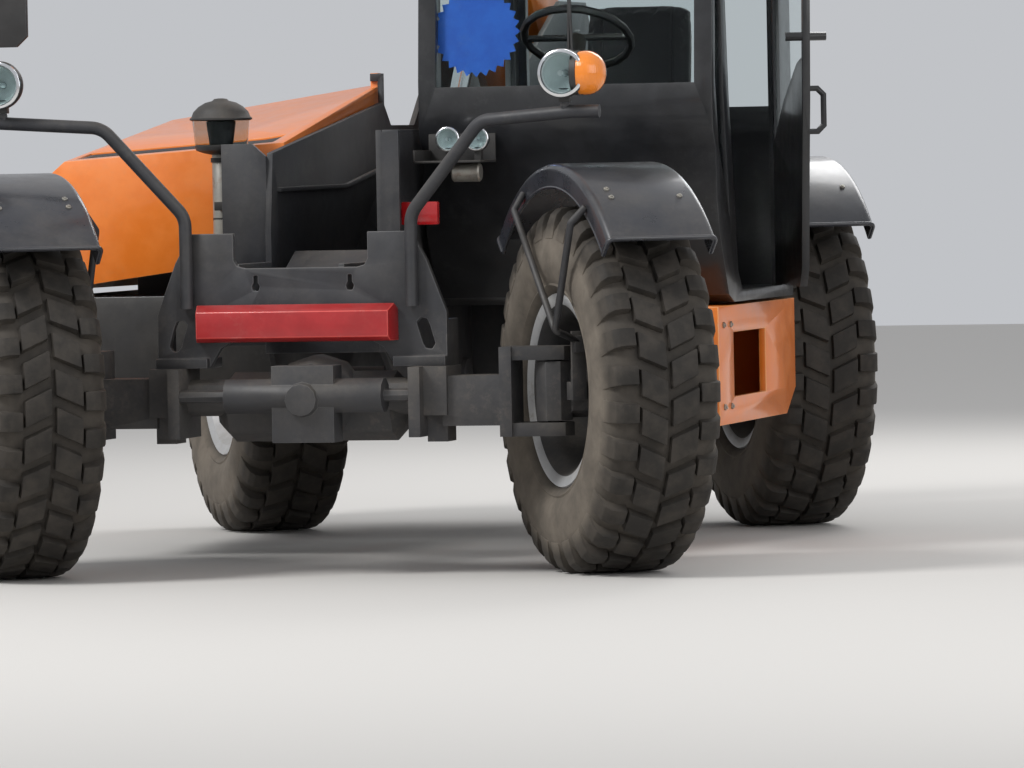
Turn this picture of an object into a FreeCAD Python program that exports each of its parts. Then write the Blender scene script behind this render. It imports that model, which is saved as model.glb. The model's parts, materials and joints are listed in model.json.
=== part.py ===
"""Telehandler: chassis, axles, steered wheels, cab, engine hood, raised boom, carriage and forks.

Millimetres. +X is the machine's left, -Y is its front, +Z is up and the ground is z = 0.
Y is typed as a distance behind the front axle, heights as a distance above the axles' middle.
"""
import FreeCAD
import Part
import math
import os

V = FreeCAD.Vector
OUT_DIR = "parts"
AXIS_X, AXIS_Y, AXIS_Z = V(1, 0, 0), V(0, 1, 0), V(0, 0, 1)

# Driving dimensions
FRONT_AXLE_Y = -1374.0          # places the whole machine about the origin
WHEELBASE = 2950.0
FRONT_KINGPIN, REAR_KINGPIN = 867.0, 812.0   # from the machine's centreline
SCRUB = 190.0                   # kingpin to the wheel's centre plane
TYRE_R = 615.0                  # to the lugs' tips
TYRE_W = 420.0
BEAD_R = 300.0
BEAD_HALF = 150.0
SIDE_RISE = 130.0               # the sidewall's widest place over the bead
FRONT_STEER = 33.5              # as parked, wheels towards the machine's left
REAR_STEER = 30.0
STEER_LIMIT = 35.0
BOOM_ANGLE = 48.5               # as parked, above level
DOOR_ANGLE = 20.0               # as parked, ajar
SEAT_GAP = 0.3                  # between pieces that sit on each other
RUN_GAP = 0.1                   # a pin in its bore, on the radius

AXLE_Z = TYRE_R

# How far behind an axle its steered tyres reach, and the room between the wheels
SWEEP = (TYRE_R * math.cos(math.radians(STEER_LIMIT))
         + (SCRUB + TYRE_W / 2) * math.sin(math.radians(STEER_LIMIT)))
MID_Y0 = SWEEP + 165.0
MID_Y1 = WHEELBASE - SWEEP - 10.0

# Boom bay between the two long side plates
BAY_X = -80.0                   # its middle
BAY_HALF = 205.0
PLATE_T = 20.0
BAY_RIGHT = BAY_X - BAY_HALF    # the right plate's inner face
BAY_LEFT = BAY_X + BAY_HALF
FRAME_RIGHT = BAY_RIGHT - PLATE_T
FRAME_LEFT = BAY_LEFT + PLATE_T
PIVOT_Y, PIVOT_H = WHEELBASE + 350.0, 1186.0
FOOT_Y, FOOT_H = PIVOT_Y - 1750.0, 6.0
EYE_U, EYE_W = 550.0, 300.0     # the lift eye, along the boom from its pivot and below its middle line
PIVOT_R, FOOT_R = 45.0, 35.0

# Boom
BOOM_W, BOOM_H, BOOM_WALL = 280.0, 360.0, 12.0
INNER_W, INNER_H = 236.0, 306.0
HEAD_U, HEAD_W = 4260.0, -430.0   # the carriage hinge, along and across the boom
BOOM_TAIL, BOOM_NOSE = 260.0, HEAD_U - 700.0
INNER_TAIL, INNER_NOSE = 190.0, HEAD_U - 300.0
HINGE_R = 28.0

# Cab
CAB_X0, CAB_X1 = FRAME_LEFT + 27.0, 1220.0
CAB_Y0, CAB_Y1 = MID_Y0, MID_Y1
CAB_WALL = 40.0
CAB_FLOOR_H, CAB_TOP_H = 262.0, 1746.0

# Hood
HOOD_X0, HOOD_X1 = -1190.0, FRAME_RIGHT - 7.0
HOOD_Y0, HOOD_Y1 = MID_Y0 - 20.0, MID_Y1 - 20.0
HOOD_WALL = 14.0
HOOD_PIN_X, HOOD_PIN_H, HOOD_PIN_R = FRAME_RIGHT - 15.0, 1080.0, 8.0


def at(y):
    """Y of a distance behind the front axle."""
    return FRONT_AXLE_Y + y


def up(h):
    """Z of a height above the axles."""
    return AXLE_Z + h


def point(x, y, h):
    return V(x, at(y), up(h))


def box(x0, x1, y0, y1, h0, h1):
    """A box between two corners."""
    return Part.makeBox(x1 - x0, y1 - y0, h1 - h0, point(x0, y0, h0))


def rod(p, q, r):
    """A true round bar, for pins and their bores."""
    d = q.sub(p)
    return Part.makeCylinder(r, d.Length, p, d)


def solid(faces):
    """A closed solid from flat faces that share their edges."""
    shell = Part.makeShell(faces)
    shell.sewShape()
    made = Part.makeSolid(shell)
    if made.Volume < 0:
        made.reverse()
    return made


def flat(pts):
    """A flat face from corner points, without repeated ones, or None."""
    corners = [p for i, p in enumerate(pts) if (p - pts[i - 1]).Length > 1e-6]
    return Part.Face(Part.makePolygon(corners + corners[:1])) if len(corners) > 2 else None


def patch(a, b, c, d):
    """One flat face through four points, or two where they twist."""
    normal = (c - a).cross(d - b)
    if normal.Length < 1e-9 or abs((b - a).dot(normal)) < 1e-4 * normal.Length:
        return [flat([a, b, c, d])]
    return [flat([a, b, c]), flat([a, c, d])]


def skin(rings, closed):
    """Flat-faced solid through like rings of points, closed on itself or with two end faces."""
    follow = rings[1:] + rings[:1] if closed else rings[1:]
    faces = []
    for a, b in zip(rings, follow):
        for k in range(len(a)):
            faces += patch(a[k - 1], a[k], b[k], b[k - 1])
    if not closed:
        faces += [flat(rings[0]), flat(rings[-1])]
    return solid([f for f in faces if f])


def circle(axis, centre, r, sides, start=0.0):
    """Corner points of a regular polygon about an axis."""
    spoke = AXIS_X if abs(axis.z) > 0.5 else AXIS_Z
    return [centre + FreeCAD.Rotation(axis, start + 360.0 * i / sides).multVec(spoke) * r for i in range(sides)]


def turned(form, sides, axis=AXIS_X, centre=V(0, 0, 0), hollow=False):
    """A faceted turning of (along the axis, radius) points, with flat ends or closed on itself."""
    return skin([circle(axis, centre + axis * a, r, sides) for a, r in form], hollow)


def arched(form, steps, centre, start, sweep):
    """A faceted turning about X over part of a turn, of (x, radius) points."""
    rings = []
    for i in range(steps + 1):
        spoke = FreeCAD.Rotation(AXIS_X, start + sweep * i / steps).multVec(AXIS_Z)
        rings.append([centre + AXIS_X * a + spoke * r for a, r in form])
    return skin(rings, False)


def eased(pts, bend, steps=3):
    """The points of a path with its corners rounded by short straight runs."""
    out = [pts[0]]
    for a, b, c in zip(pts, pts[1:], pts[2:]):
        u, w = (a - b).normalize(), (c - b).normalize()
        half = u.getAngle(w) / 2
        centre = b + (u + w).normalize() * (bend / math.sin(half))
        start, end = b + u * (bend / math.tan(half)), b + w * (bend / math.tan(half))
        turn = math.pi - 2 * half
        for i in range(steps + 1):
            f = turn * i / steps
            s, e = start - centre, end - centre
            out.append(centre + (s * math.sin(turn - f) + e * math.sin(f)) * (1 / math.sin(turn)))
    return out + [pts[-1]]


def piped(path, r, sides=10):
    """A faceted bar along straight runs, mitred where they meet."""
    d = (path[1] - path[0]).normalize()
    side = d.cross(AXIS_Z) if abs(d.z) < 0.9 else d.cross(AXIS_X)
    side.normalize()
    ring = [path[0] + FreeCAD.Rotation(d, 360.0 * i / sides).multVec(side) * r for i in range(sides)]
    rings = [ring]
    for i in range(1, len(path)):
        run = (path[i] - path[i - 1]).normalize()
        after = (path[i + 1] - path[i]).normalize() if i + 1 < len(path) else run
        mitre = (run + after).normalize()
        ring = [p + run * ((path[i] - p).dot(mitre) / run.dot(mitre)) for p in ring]
        rings.append(ring)
    return skin(rings, False)


def sheet_yz(pts, x0, x1):
    """A plate cut to an outline of (y, height) points, from x0 to x1."""
    return skin([[point(x, y, h) for y, h in pts] for x in (x0, x1)], False)


def sheet_xz(pts, y0, y1):
    """A plate cut to an outline of (x, height) points, from y0 to y1."""
    return skin([[point(x, y, h) for x, h in pts] for y in (y0, y1)], False)


def sheet_xy(pts, h0, h1):
    """A plate cut to an outline of (x, y) points, between two heights."""
    return skin([[point(x, y, h) for x, y in pts] for h in (h0, h1)], False)


def inset(pts, gap):
    """An outline moved in by a gap on every edge."""
    wire = Part.makePolygon([V(a, b, 0) for a, b in pts + pts[:1]])
    return [(v.Point.x, v.Point.y) for v in wire.makeOffset2D(-gap, 2).OrderedVertexes]


def fuse(shapes):
    """One solid from touching shapes."""
    return shapes[0].multiFuse(shapes[1:]).removeSplitter()


def group(shapes):
    """Solids that don't touch, kept in one node."""
    return Part.makeCompound(shapes)


def mirrored(shape):
    return shape.mirror(V(0, 0, 0), AXIS_X)


# Chassis

PLATE_LOW = -114.0
SADDLE_H = 106.0                # the side plates' lower edge over the rear axle
PAD_H = 89.0                    # the axle pads' tops
FOOT_T = 34.0
NOSE_T = 30.0
FLANGE_Y = 620.0
BOSS_T, BOSS_RIM = 18.0, 25.0     # thickness, and rim round the pin
LEFT_Y, RIGHT_Y = 500.0, 600.0  # where the side plates start


def side_plates():
    """The two long plates of the boom bay with the pins for the boom and the lift cylinder."""
    tail = WHEELBASE + 610.0
    tower = [(PIVOT_Y - 220, 1361), (PIVOT_Y + 170, 1361), (tail, 1236), (tail, 146), (tail - 190, SADDLE_H),
             (WHEELBASE - 350, SADDLE_H), (WHEELBASE - 620, PLATE_LOW), (MID_Y0 - 100, PLATE_LOW)]
    right = [(RIGHT_Y, 121), (RIGHT_Y, 536), (RIGHT_Y + 40, 812), (HOOD_Y1 - 90, 988), (HOOD_Y1 + 10, 905),
             (HOOD_Y1 + 330, 905)] + tower
    left = [(LEFT_Y, 121), (LEFT_Y, 884), (CAB_Y1 - 200, 884)] + tower
    out = [sheet_yz(right, FRAME_RIGHT, BAY_RIGHT), sheet_yz(left, BAY_LEFT, FRAME_LEFT)]
    for y, h, r in ((PIVOT_Y, PIVOT_H, PIVOT_R), (FOOT_Y, FOOT_H, FOOT_R)):
        out.append(rod(point(BAY_RIGHT, y, h), point(BAY_LEFT, y, h), r))
        for x in (FRAME_RIGHT - BOSS_T, FRAME_LEFT):
            out.append(turned([(0, r + BOSS_RIM), (BOSS_T, r + BOSS_RIM)], 12, AXIS_X, point(x, y, h)))
    wing = [(FRAME_RIGHT - 160, 146), (FRAME_RIGHT, 146), (FRAME_RIGHT, 800), (FRAME_RIGHT - 50, 845),
            (FRAME_RIGHT - 160, 845)]
    out.append(sheet_xz(wing, FLANGE_Y, FLANGE_Y + 20))
    flange = [(BAY_LEFT, 121), (FRAME_LEFT + 60, 121), (FRAME_LEFT + 60, 884), (BAY_LEFT + 24, 884), (BAY_LEFT, 819)]
    out.append(sheet_xz(flange, LEFT_Y, LEFT_Y + 20))
    y, h = HOOD_Y1 - 80, HOOD_PIN_H
    out.append(box(FRAME_RIGHT, BAY_RIGHT, y - 12, y, h - 180, h + 14))
    ledge = [(RIGHT_Y + 90, 678), (1550, 682), (HOOD_Y1 - 60, 752)]
    ledge += [(y, h + 14) for y, h in ledge[::-1]]
    out.append(sheet_yz(ledge, BAY_RIGHT - 1, BAY_RIGHT + 14))
    out.append(box(HOOD_PIN_X - 14, FRAME_RIGHT, y - 12, y, h - 14, h + 14))
    out.append(rod(point(HOOD_PIN_X, y - 6, h), point(HOOD_PIN_X, y + 58, h), HOOD_PIN_R))
    return fuse(out)


CROSS_Y0, CROSS_Y1 = FOOT_Y + 350.0, WHEELBASE - 180.0
BELLY_H = 121.0
BEAM_T = 20.0
SILL_Y = (FOOT_Y + 110.0, CAB_Y1 - 220.0)     # cross beams under the cab
TANK_Y1 = HOOD_Y0 + 390.0
TRAY_H0, TRAY_T = -69.0, 12.0
TRAY_X0 = -1180.0


def belly_plates():
    """The cross plates, the beams under the cab, the engine's tray and the rear axle's pads."""
    y = LEFT_Y + 5
    cover = [(y, 370), (y, 386), (y + 185, 472), (y + 185, 456)]
    front = fuse([box(BAY_RIGHT, BAY_LEFT, y, FOOT_Y - 250, BELLY_H, BELLY_H + BEAM_T),
                  box(BAY_RIGHT, BAY_LEFT, y, y + 20, BELLY_H, 386), sheet_yz(cover, BAY_RIGHT + 60, BAY_LEFT)])
    rear = box(BAY_RIGHT, BAY_LEFT, CROSS_Y0, CROSS_Y1, BELLY_H + 5, BELLY_H + 5 + BEAM_T)
    plates = [front, rear]
    for y in SILL_Y:
        plates.append(box(FRAME_LEFT, 940, y, y + BEAM_T, -14, CAB_FLOOR_H - SEAT_GAP))
    skirt = [(TRAY_X0, TRAY_H0), (FRAME_RIGHT, TRAY_H0), (FRAME_RIGHT, TRAY_H0 + TRAY_T),
             (TRAY_X0 + TRAY_T, TRAY_H0 + TRAY_T), (TRAY_X0 + TRAY_T, 321), (TRAY_X0, 321)]
    tray = [sheet_xz(skirt, TANK_Y1 + SEAT_GAP, MID_Y1 - 30)]
    for y in (TANK_Y1 + SEAT_GAP, MID_Y1 - 130):
        tray.append(box(TRAY_X0 + TRAY_T, FRAME_RIGHT, y, y + BEAM_T, TRAY_H0 + TRAY_T, 126))
    plates.append(fuse(tray))
    for x0, x1 in ((FRAME_LEFT, 500), (-500, FRAME_RIGHT)):
        plates.append(box(x0, x1, WHEELBASE - 90, WHEELBASE + 60, PAD_H + SEAT_GAP, 176))
    return group(plates)


BAR_H0, BAR_H1 = 177.0, 283.0
CUT_HALF = 235.0                # half width of the nose plate's U-cut
TIE_TOP = 436.0                 # clear of the lowered boom


def nose_plate():
    """The upright front plate: U-cut, feet on the axle, slanted tow holes and the ties to the side plates."""
    low = PAD_H + SEAT_GAP
    half = [(507, low), (507, 271), (440, 446), (385, 543), (CUT_HALF, 543), (CUT_HALF, 454), (CUT_HALF - 12, 432),
            (CUT_HALF - 38, 425)]
    arch = [(325, low), (285, 155), (230, 185), (160, 198)]
    outline = half + [(-x, h) for x, h in half[::-1]] + [(-x, h) for x, h in arch] + arch[::-1]
    plate = sheet_xz(outline, -NOSE_T, 0)
    for side in (-1, 1):
        slot = [(side * x, h) for x, h in ((402, 236), (416, 252), (438, 248), (448, 226), (466, 164), (454, 146),
                                           (434, 148), (424, 164))]
        plate = plate.cut(sheet_xz(slot, -NOSE_T - 10, 10))
        x = 7 + side * 165
        key = [(-7, 400), (7, 400), (7, 376), (14, 364), (9, 348), (-9, 348), (-14, 364), (-7, 376)]
        plate = plate.cut(sheet_xz([(x + a, h) for a, h in key], -NOSE_T - 10, 10))
    feet = [box(-507, -325, -60, 120, low, low + FOOT_T), box(325, 507, -60, 120, low, low + FOOT_T)]
    webs = [box(-507, -487, 0, 120, low, 246), box(487, 507, 0, 120, low, 246)]
    ties = [box(BAY_LEFT, FRAME_LEFT, 0, LEFT_Y - SEAT_GAP, 206, TIE_TOP),
            box(FRAME_RIGHT, BAY_RIGHT, 0, RIGHT_Y - SEAT_GAP, 206, TIE_TOP)]
    return fuse([plate] + feet + webs + ties)


def bumper_bar():
    """The folded red bar on the nose plate, with bevelled ends."""
    back = -NOSE_T - SEAT_GAP
    pts = [(back, BAR_H0), (back, BAR_H1), (back - 30, BAR_H1 + 20), (back - 80, BAR_H1 - 4), (back - 80, BAR_H0 + 15),
           (back - 60, BAR_H0)]
    ends = sheet_xy([(-364, back), (-346, back - 90), (322, back - 90), (340, back)], 0, 400)
    return sheet_yz(pts, -364, 340).common(ends)


TOW_X, TOW_H, TOW_HOLE_R, TOW_T, TOW_MOUTH = -50.0, 141.0, 16.5, 25.0, 80.0
WEIGHT_Y = WHEELBASE + 450.0


def counterweight():
    """The cast weight behind the rear axle and its tow jaw."""
    y = WEIGHT_Y
    body = sheet_yz([(y, 6), (y, 626), (y + 80, 686), (y + 380, 686), (y + 460, 606), (y + 460, 86), (y + 360, -54),
                     (y + 80, -54)], -520, 420)
    plan = [(-400, y), (400, y), (420, y + 300), (420, y + 460), (-520, y + 460), (-520, y + 340)]
    body = body.common(sheet_xy(plan, -60, 700))
    slot = box(FRAME_RIGHT - SEAT_GAP, FRAME_LEFT + SEAT_GAP, y - 10, WHEELBASE + 610 + SEAT_GAP, -114, 786)
    back = y + 460
    jaws = [sheet_xy([(TOW_X - 80, back - 10), (TOW_X + 80, back - 10), (TOW_X + 80, back + 60),
                      (TOW_X + 40, back + 110), (TOW_X - 40, back + 110), (TOW_X - 80, back + 60)], h, h + TOW_T)
            for h in (TOW_H, TOW_H + TOW_T + TOW_MOUTH)]
    way = rod(point(TOW_X, back + 60, TOW_H - 50), point(TOW_X, back + 60, TOW_H + 250), TOW_HOLE_R)
    return fuse([body.cut(slot)] + jaws).cut(way)


ARM_R = 22.0
ARM_H, ARM_END = 931.0, 1095.0  # the lamp arms' outer ends
LAMP_X, LAMP_Y, LAMP_H = 978.0, -220.0, ARM_H + 127.0


def lamp_arm(side):
    """A bent tube from the nose plate out to a headlamp's post."""
    y = -NOSE_T - SEAT_GAP - ARM_R
    pts = [(395, y, 291), (395, y, 600), (660, -120, ARM_H - 24), (1000, LAMP_Y, ARM_H), (ARM_END, LAMP_Y, ARM_H)]
    tube = piped(eased([point(side * x, y, h) for x, y, h in pts], 90, 2), ARM_R, 8)
    post = piped([point(side * LAMP_X, LAMP_Y, ARM_H), point(side * LAMP_X, LAMP_Y, LAMP_H - 95 - SEAT_GAP)], 14, 6)
    return fuse([tube, post])


def lamp_arms():
    return group([lamp_arm(-1), lamp_arm(1)])


def headlamp(side):
    """A round headlamp with its foot and its side indicator."""
    x = side * LAMP_X
    shell = turned([(-55, 66), (-45, 82), (-20, 82), (60, 30)], 12, AXIS_Y,
                   point(x, LAMP_Y, LAMP_H))
    blink = turned([(40, 70), (82, 74), (112, 62), (138, 34)], 12, AXIS_X * side, point(x, LAMP_Y + 6, LAMP_H))
    foot = box(x - 18, x + 18, LAMP_Y - 15, LAMP_Y + 15, LAMP_H - 95, LAMP_H - 50)
    return fuse([shell, blink, foot])


TRAY_LAMP_H = 848.0


def front_lamps():
    """Two headlamps on their arms and two small lamps on a tray at the cab's front."""
    y = CAB_Y0 - 110
    x0, x1, low = 208, 448, TRAY_LAMP_H - 82
    small = [box(x0, x1, y - 55, CAB_Y0 - SEAT_GAP, low, low + 8),
             box(x0, x1, CAB_Y0 - 8, CAB_Y0 - SEAT_GAP, low, TRAY_LAMP_H + 18),
             sheet_yz([(y - 55, low), (CAB_Y0 - SEAT_GAP, low), (CAB_Y0 - SEAT_GAP, low + 130), (y - 35, low + 130)],
                      x0, x0 + 8)]
    for x in (310, 414):
        small.append(turned([(-35, 44), (20, 38), (45, 15)], 12, AXIS_Y, point(x, y, TRAY_LAMP_H)))
        small.append(box(x - 12, x + 12, y - 8, y + 12, low + 4, TRAY_LAMP_H - 34))
    return group([headlamp(-1), headlamp(1), fuse(small)])


def mirror():
    """The right-hand mirror on a stem from the lamp arm's end."""
    x, y = -LAMP_X - 25, LAMP_Y + 40
    outline = [(-70, -160), (70, -160), (108, -125), (108, 125), (70, 160), (-70, 160), (-108, 125), (-108, -125)]
    back = [(a * 0.78, b * 0.78) for a, b in outline]
    rings = [[point(x + a, y - 22, 1346 + b) for a, b in outline], [point(x + a, y, 1346 + b) for a, b in outline],
             [point(x + a, y + 45, 1346 + b) for a, b in back]]
    head = skin(rings, False)
    stem = piped(eased([point(-ARM_END - SEAT_GAP, LAMP_Y, ARM_H), point(-1165, LAMP_Y, ARM_H),
                        point(-1165, LAMP_Y, 1200), point(x - 40, y + 15, 1330)], 40, 2), 12, 6)
    return fuse([head, stem])


def hood_loft(gap):
    """The engine hood's outer form, or its inner one at a gap inside."""
    # columns: y, outer low, inner low, outer high, inner high
    rows = ((HOOD_Y0 + gap, 341, 456, 781, 848), (HOOD_Y1 - gap, 336, 386, 926, 1058))
    x0, x1 = HOOD_X0 + gap, HOOD_X1 + gap
    drop = 60 if gap else 0
    rings = []
    for y, out_low, in_low, out_high, in_high in rows:
        pts = [(x0, out_low - drop), (x1, in_low - drop), (x1, in_high - gap), (x0 + 70, out_high + 14 - gap),
               (x0, out_high - 45 - gap)]
        rings.append([point(x, y, h) for x, h in pts])
    return skin(rings, False)


GRILLE_X0, GRILLE_X1 = HOOD_X0 + 95.0, HOOD_X1 - 60.0
GRILLE_Y0, GRILLE_Y1 = HOOD_Y0 + 55.0, HOOD_Y0 + 235.0
GRILLE_SLOTS = 7


def grille_room(grow):
    """The upright block of space that the hood's grille takes up."""
    return box(GRILLE_X0 - grow, GRILLE_X1 + grow, GRILLE_Y0 - grow, GRILLE_Y1 + grow, 700, 1100)


def engine_hood():
    """The hood's top, sides, front and back, open at the bottom and below the flange on its inner side."""
    y0 = HOOD_Y1 - 78
    ear = box(HOOD_PIN_X - 16, HOOD_PIN_X + 10, y0, y0 + 50, HOOD_PIN_H - 50, HOOD_PIN_H + 16)
    flange = sheet_yz([(HOOD_Y0, 790), (HOOD_Y0, 835), (HOOD_Y1, 1045), (HOOD_Y1, 890), (HOOD_Y1 - 130, 890),
                       (HOOD_Y1 - 170, 955)], HOOD_X1 - HOOD_WALL, HOOD_X1)
    body = fuse([hood_loft(0).cut(hood_loft(HOOD_WALL)), flange, ear]).cut(grille_room(SEAT_GAP))
    bore = rod(point(HOOD_PIN_X, y0 - 20, HOOD_PIN_H), point(HOOD_PIN_X, y0 + 70, HOOD_PIN_H), HOOD_PIN_R + RUN_GAP)
    return body.cut(bore)


def hood_grille():
    """The slotted plate let into the hood's top behind its front edge."""
    plate = hood_loft(5).cut(hood_loft(13)).common(grille_room(0))
    pitch = (GRILLE_Y1 - GRILLE_Y0) / GRILLE_SLOTS
    slots = []
    for i in range(GRILLE_SLOTS):
        y = GRILLE_Y0 + pitch * (i + 0.5)
        slots.append(box(GRILLE_X0 + 18, GRILLE_X1 - 18, y - pitch * 0.3, y + pitch * 0.3, 700, 1100))
    return plate.cut(slots[0].multiFuse(slots[1:]))


def engine_block():
    """The engine as one plain block on four feet."""
    y0, y1 = TANK_Y1 + 60, MID_Y1 - 160
    low = TRAY_H0 + TRAY_T + SEAT_GAP
    feet = [box(x, x + 80, y, y + 80, low, 147) for x in (-960, -540) for y in (y0 + 60, y1 - 140)]
    return fuse([box(-1000, -420, y0, y1, 146, 700)] + feet)


def fuel_tank():
    """The black tank under the hood's front."""
    c = 40
    pts = [(-1170, -54 + c), (-1170 + c, -54), (FRAME_RIGHT - SEAT_GAP - c, -54), (FRAME_RIGHT - SEAT_GAP, -54 + c),
           (FRAME_RIGHT - SEAT_GAP, 316), (-1170 + c, 316), (-1170, 316 - c)]
    return sheet_xz(pts, HOOD_Y0 + 20, TANK_Y1)


def pre_cleaner():
    """The air pre-cleaner's dome, bowl and pipe on a bracket, with its elbow towards the hood."""
    x, y = -500, HOOD_Y0 - 135
    form = [(526, 34), (826, 34), (840, 92), (928, 103), (931, 109), (966, 92), (992, 52), (1004, 14)]
    pipe = turned(form, 14, AXIS_Z, point(x, y, 0))
    elbow = piped([point(x, y, 561), point(x, HOOD_Y0 - 10, 561)], 34, 8)
    strap = box(x, FRAME_RIGHT - 20, FLANGE_Y + 20 + SEAT_GAP, y, 616, 646)
    return fuse([pipe, elbow, strap])


# Axles

KINGPIN_R = 25.0
FORK_T, FORK_H = 45.0, 105.0    # a fork arm's thickness, its inner face above the axle's middle
FORK_R = 68.0


DIFF_X = 40.0                   # the differential and the steering cylinder, off the machine's middle
BEAM_R = 62.0
RAM_R, RAM_HALF = 60.0, 275.0
BOWL_FRONT = 66.0


def axle(y, face, kingpin):
    """The beam with its differential bowl, pads and the forks that hold the kingpins."""
    parts = [piped([point(-kingpin + 220, y, -12), point(kingpin - 220, y, -12)], BEAM_R, 8)]
    bowl = [(-BOWL_FRONT, 120), (-30, 148), (90, 148), (160, 95), (220, 70)]
    parts.append(turned(bowl, 10, AXIS_Y * face, point(DIFF_X, y, -18)))
    housing = [(-330, 70), (-285, 118), (285, 118), (330, 70)]
    parts.append(turned(housing, 8, AXIS_X, point(DIFF_X - 20, y + face * 70, -46)))
    # columns: inner and outer x, reach ahead, reach behind, low, high
    for x0, x1, ahead, behind, low, high in (
            (400, 440, 150, 100, -146, PAD_H), (440, 520, 100, 100, -75, PAD_H), (440, 510, 55, 55, -165, -74),
            (500, kingpin - 160, 80, 80, -112, 56), (kingpin - 170, kingpin - 128, 80, 80, -150, 150),
            (kingpin - 130, kingpin, FORK_R, FORK_R, FORK_H, FORK_H + FORK_T),
            (kingpin - 130, kingpin, FORK_R, FORK_R, -FORK_H - FORK_T, -FORK_H)):
        y0, y1 = sorted((y - face * ahead, y + face * behind))
        parts.append(box(x0, x1, y0, y1, low, high))
        parts.append(box(-x1, -x0, y0, y1, low, high))
    for x in (-kingpin, kingpin):
        for low in (FORK_H, -FORK_H - FORK_T):
            parts.append(turned([(0, FORK_R), (FORK_T, FORK_R)], 8, AXIS_Z, point(x, y, low)))
        parts.append(rod(point(x, y, -FORK_H), point(x, y, FORK_H), KINGPIN_R))
    return fuse(parts)


def steer_cylinder(y, face):
    """The cross cylinder in front of an axle, with its middle block and boss."""
    yc, h = y - face * (BEAM_R + RAM_R + 8), -4
    body = piped([point(DIFF_X - RAM_HALF, yc, h), point(DIFF_X + RAM_HALF, yc, h)], RAM_R, 10)
    stem = piped([point(-400 + SEAT_GAP, yc, h), point(400 - SEAT_GAP, yc, h)], 22, 8)
    y0, y1 = sorted((y - face * (BOWL_FRONT + SEAT_GAP), yc - face * 45))
    block = box(DIFF_X - 108, DIFF_X + 108, y0, y1, -160, 98)
    boss = turned([(0, 60), (30, 54)], 12, AXIS_Y * -face, point(DIFF_X, yc - face * 44, -16))
    return fuse([body, stem, block, boss])


def steer_cylinders():
    return group([steer_cylinder(0, 1), steer_cylinder(WHEELBASE, -1)])


# Wheel pieces, built about the left kingpin, wheel straight ahead, outwards along +X

HUB_FACE = 176.0                # the knuckle's outer face
POST_HALF = 99.0


def knuckle():
    """The swivel between the forks, its spindle and the mudguard's bracket."""
    post = turned([(-POST_HALF, 64), (POST_HALF, 64)], 8, AXIS_Z)
    hub = piped([V(40, 0, 0), V(150, 0, 0)], 92, 8)
    cap = piped([V(149, 0, 0), V(HUB_FACE, 0, 0)], 130, 10)
    bracket = Part.makeBox(60, 40, 60, V(20, -108, -30))
    plate = Part.makeBox(50, 14, 230, V(22, -122, -30))
    return fuse([post, hub, cap, bracket, plate]).cut(rod(V(0, 0, -150), V(0, 0, 150), KINGPIN_R + RUN_GAP))


GUARD_R = TYRE_R + 120.0
GUARD_START, GUARD_SWEEP = 42.0, 96.0    # from level at the front
GUARD_HALF = 190.0


def mudguard():
    """The arched mudguard over the tyre and its two struts from the knuckle."""
    w = GUARD_HALF
    form = [(-w, -55), (-w, 6), (-w + 22, 24), (w - 22, 24), (w, 6), (w, -55), (w - 10, -55), (w - 10, 10),
            (-w + 10, 10), (-w + 10, -55)]
    band = arched([(a, GUARD_R + r) for a, r in form], 8, V(SCRUB, 0, 0), 90 - GUARD_START - GUARD_SWEEP, GUARD_SWEEP)
    skirt_x = SCRUB - w
    clear_x = SCRUB - TYRE_W / 2 - 26
    foot = V(44, -136, 165)
    struts = []
    for deg in (60, 112):
        a = math.radians(deg)
        out = V(0, -math.cos(a), math.sin(a))
        path = [foot, V(clear_x, -150, 205), V(clear_x, 0, 0) + out * (GUARD_R - 85),
                V(skirt_x - 4, 0, 0) + out * (GUARD_R - 25)]
        struts.append(piped(path, 12, 6))
    clip = Part.makeBox(40, 26, 55, V(24, -148 - SEAT_GAP, 130))
    return fuse([band, clip] + struts)


BLOCKS = 30                     # shoulder blocks on each side
GROOVE_DEPTH = 26.0
SHOULDER_X = TYRE_W / 2 - 40.0


def tyre():
    """The tyre with shoulder blocks that take turns on its two sides, each half a pitch wide."""
    wide, low = (TYRE_W / 2, BEAD_R + SIDE_RISE), (SHOULDER_X + 20, TYRE_R - 62)
    # columns: across, radius, from the bead to the middle
    groove = [(BEAD_HALF, BEAD_R), wide, low, (SHOULDER_X - 26, TYRE_R - GROOVE_DEPTH), (0, TYRE_R)]
    block = [(BEAD_HALF, BEAD_R), wide, low, (SHOULDER_X, TYRE_R - 14), (0, TYRE_R)]
    pitch = 180.0 / BLOCKS
    rings = []
    for i in range(2 * BLOCKS):
        left, right = (block, groove) if i % 2 else (groove, block)
        for edge in (0, 1):
            turn = FreeCAD.Rotation(AXIS_X, (i + edge) * pitch)
            across = [V(-x, 0, r) for x, r in left] + [V(x, 0, r) for x, r in right[-2::-1]]
            rings.append([turn.multVec(p) for p in across])
    body = skin(rings, True)
    body.translate(V(SCRUB, 0, 0))
    return body


RIM_SIDES = 20                  # a third of the tyre's, so that their corners meet
CAP_R = 12.0


def rim():
    """The rim with its dished disc, the planetary hub cover and a round grease cap."""
    seat = BEAD_R - SEAT_GAP
    hub = HUB_FACE + SEAT_GAP - SCRUB
    lip, lip_r = BEAD_HALF + 18, BEAD_R + 22
    form = [(hub, 120), (84, BEAD_R - 58), (2 - BEAD_HALF, BEAD_R - 38), (-lip, lip_r), (-BEAD_HALF, seat),
            (BEAD_HALF, seat), (lip, lip_r), (BEAD_HALF - 4, BEAD_R - 36), (106, BEAD_R - 46),
            (76, 110), (165, 90), (178, 46)]
    cap = rod(V(176, 0, 0), V(186, 0, 0), CAP_R)
    return fuse([turned(form, RIM_SIDES, AXIS_X), cap]).translated(V(SCRUB, 0, 0))


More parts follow.
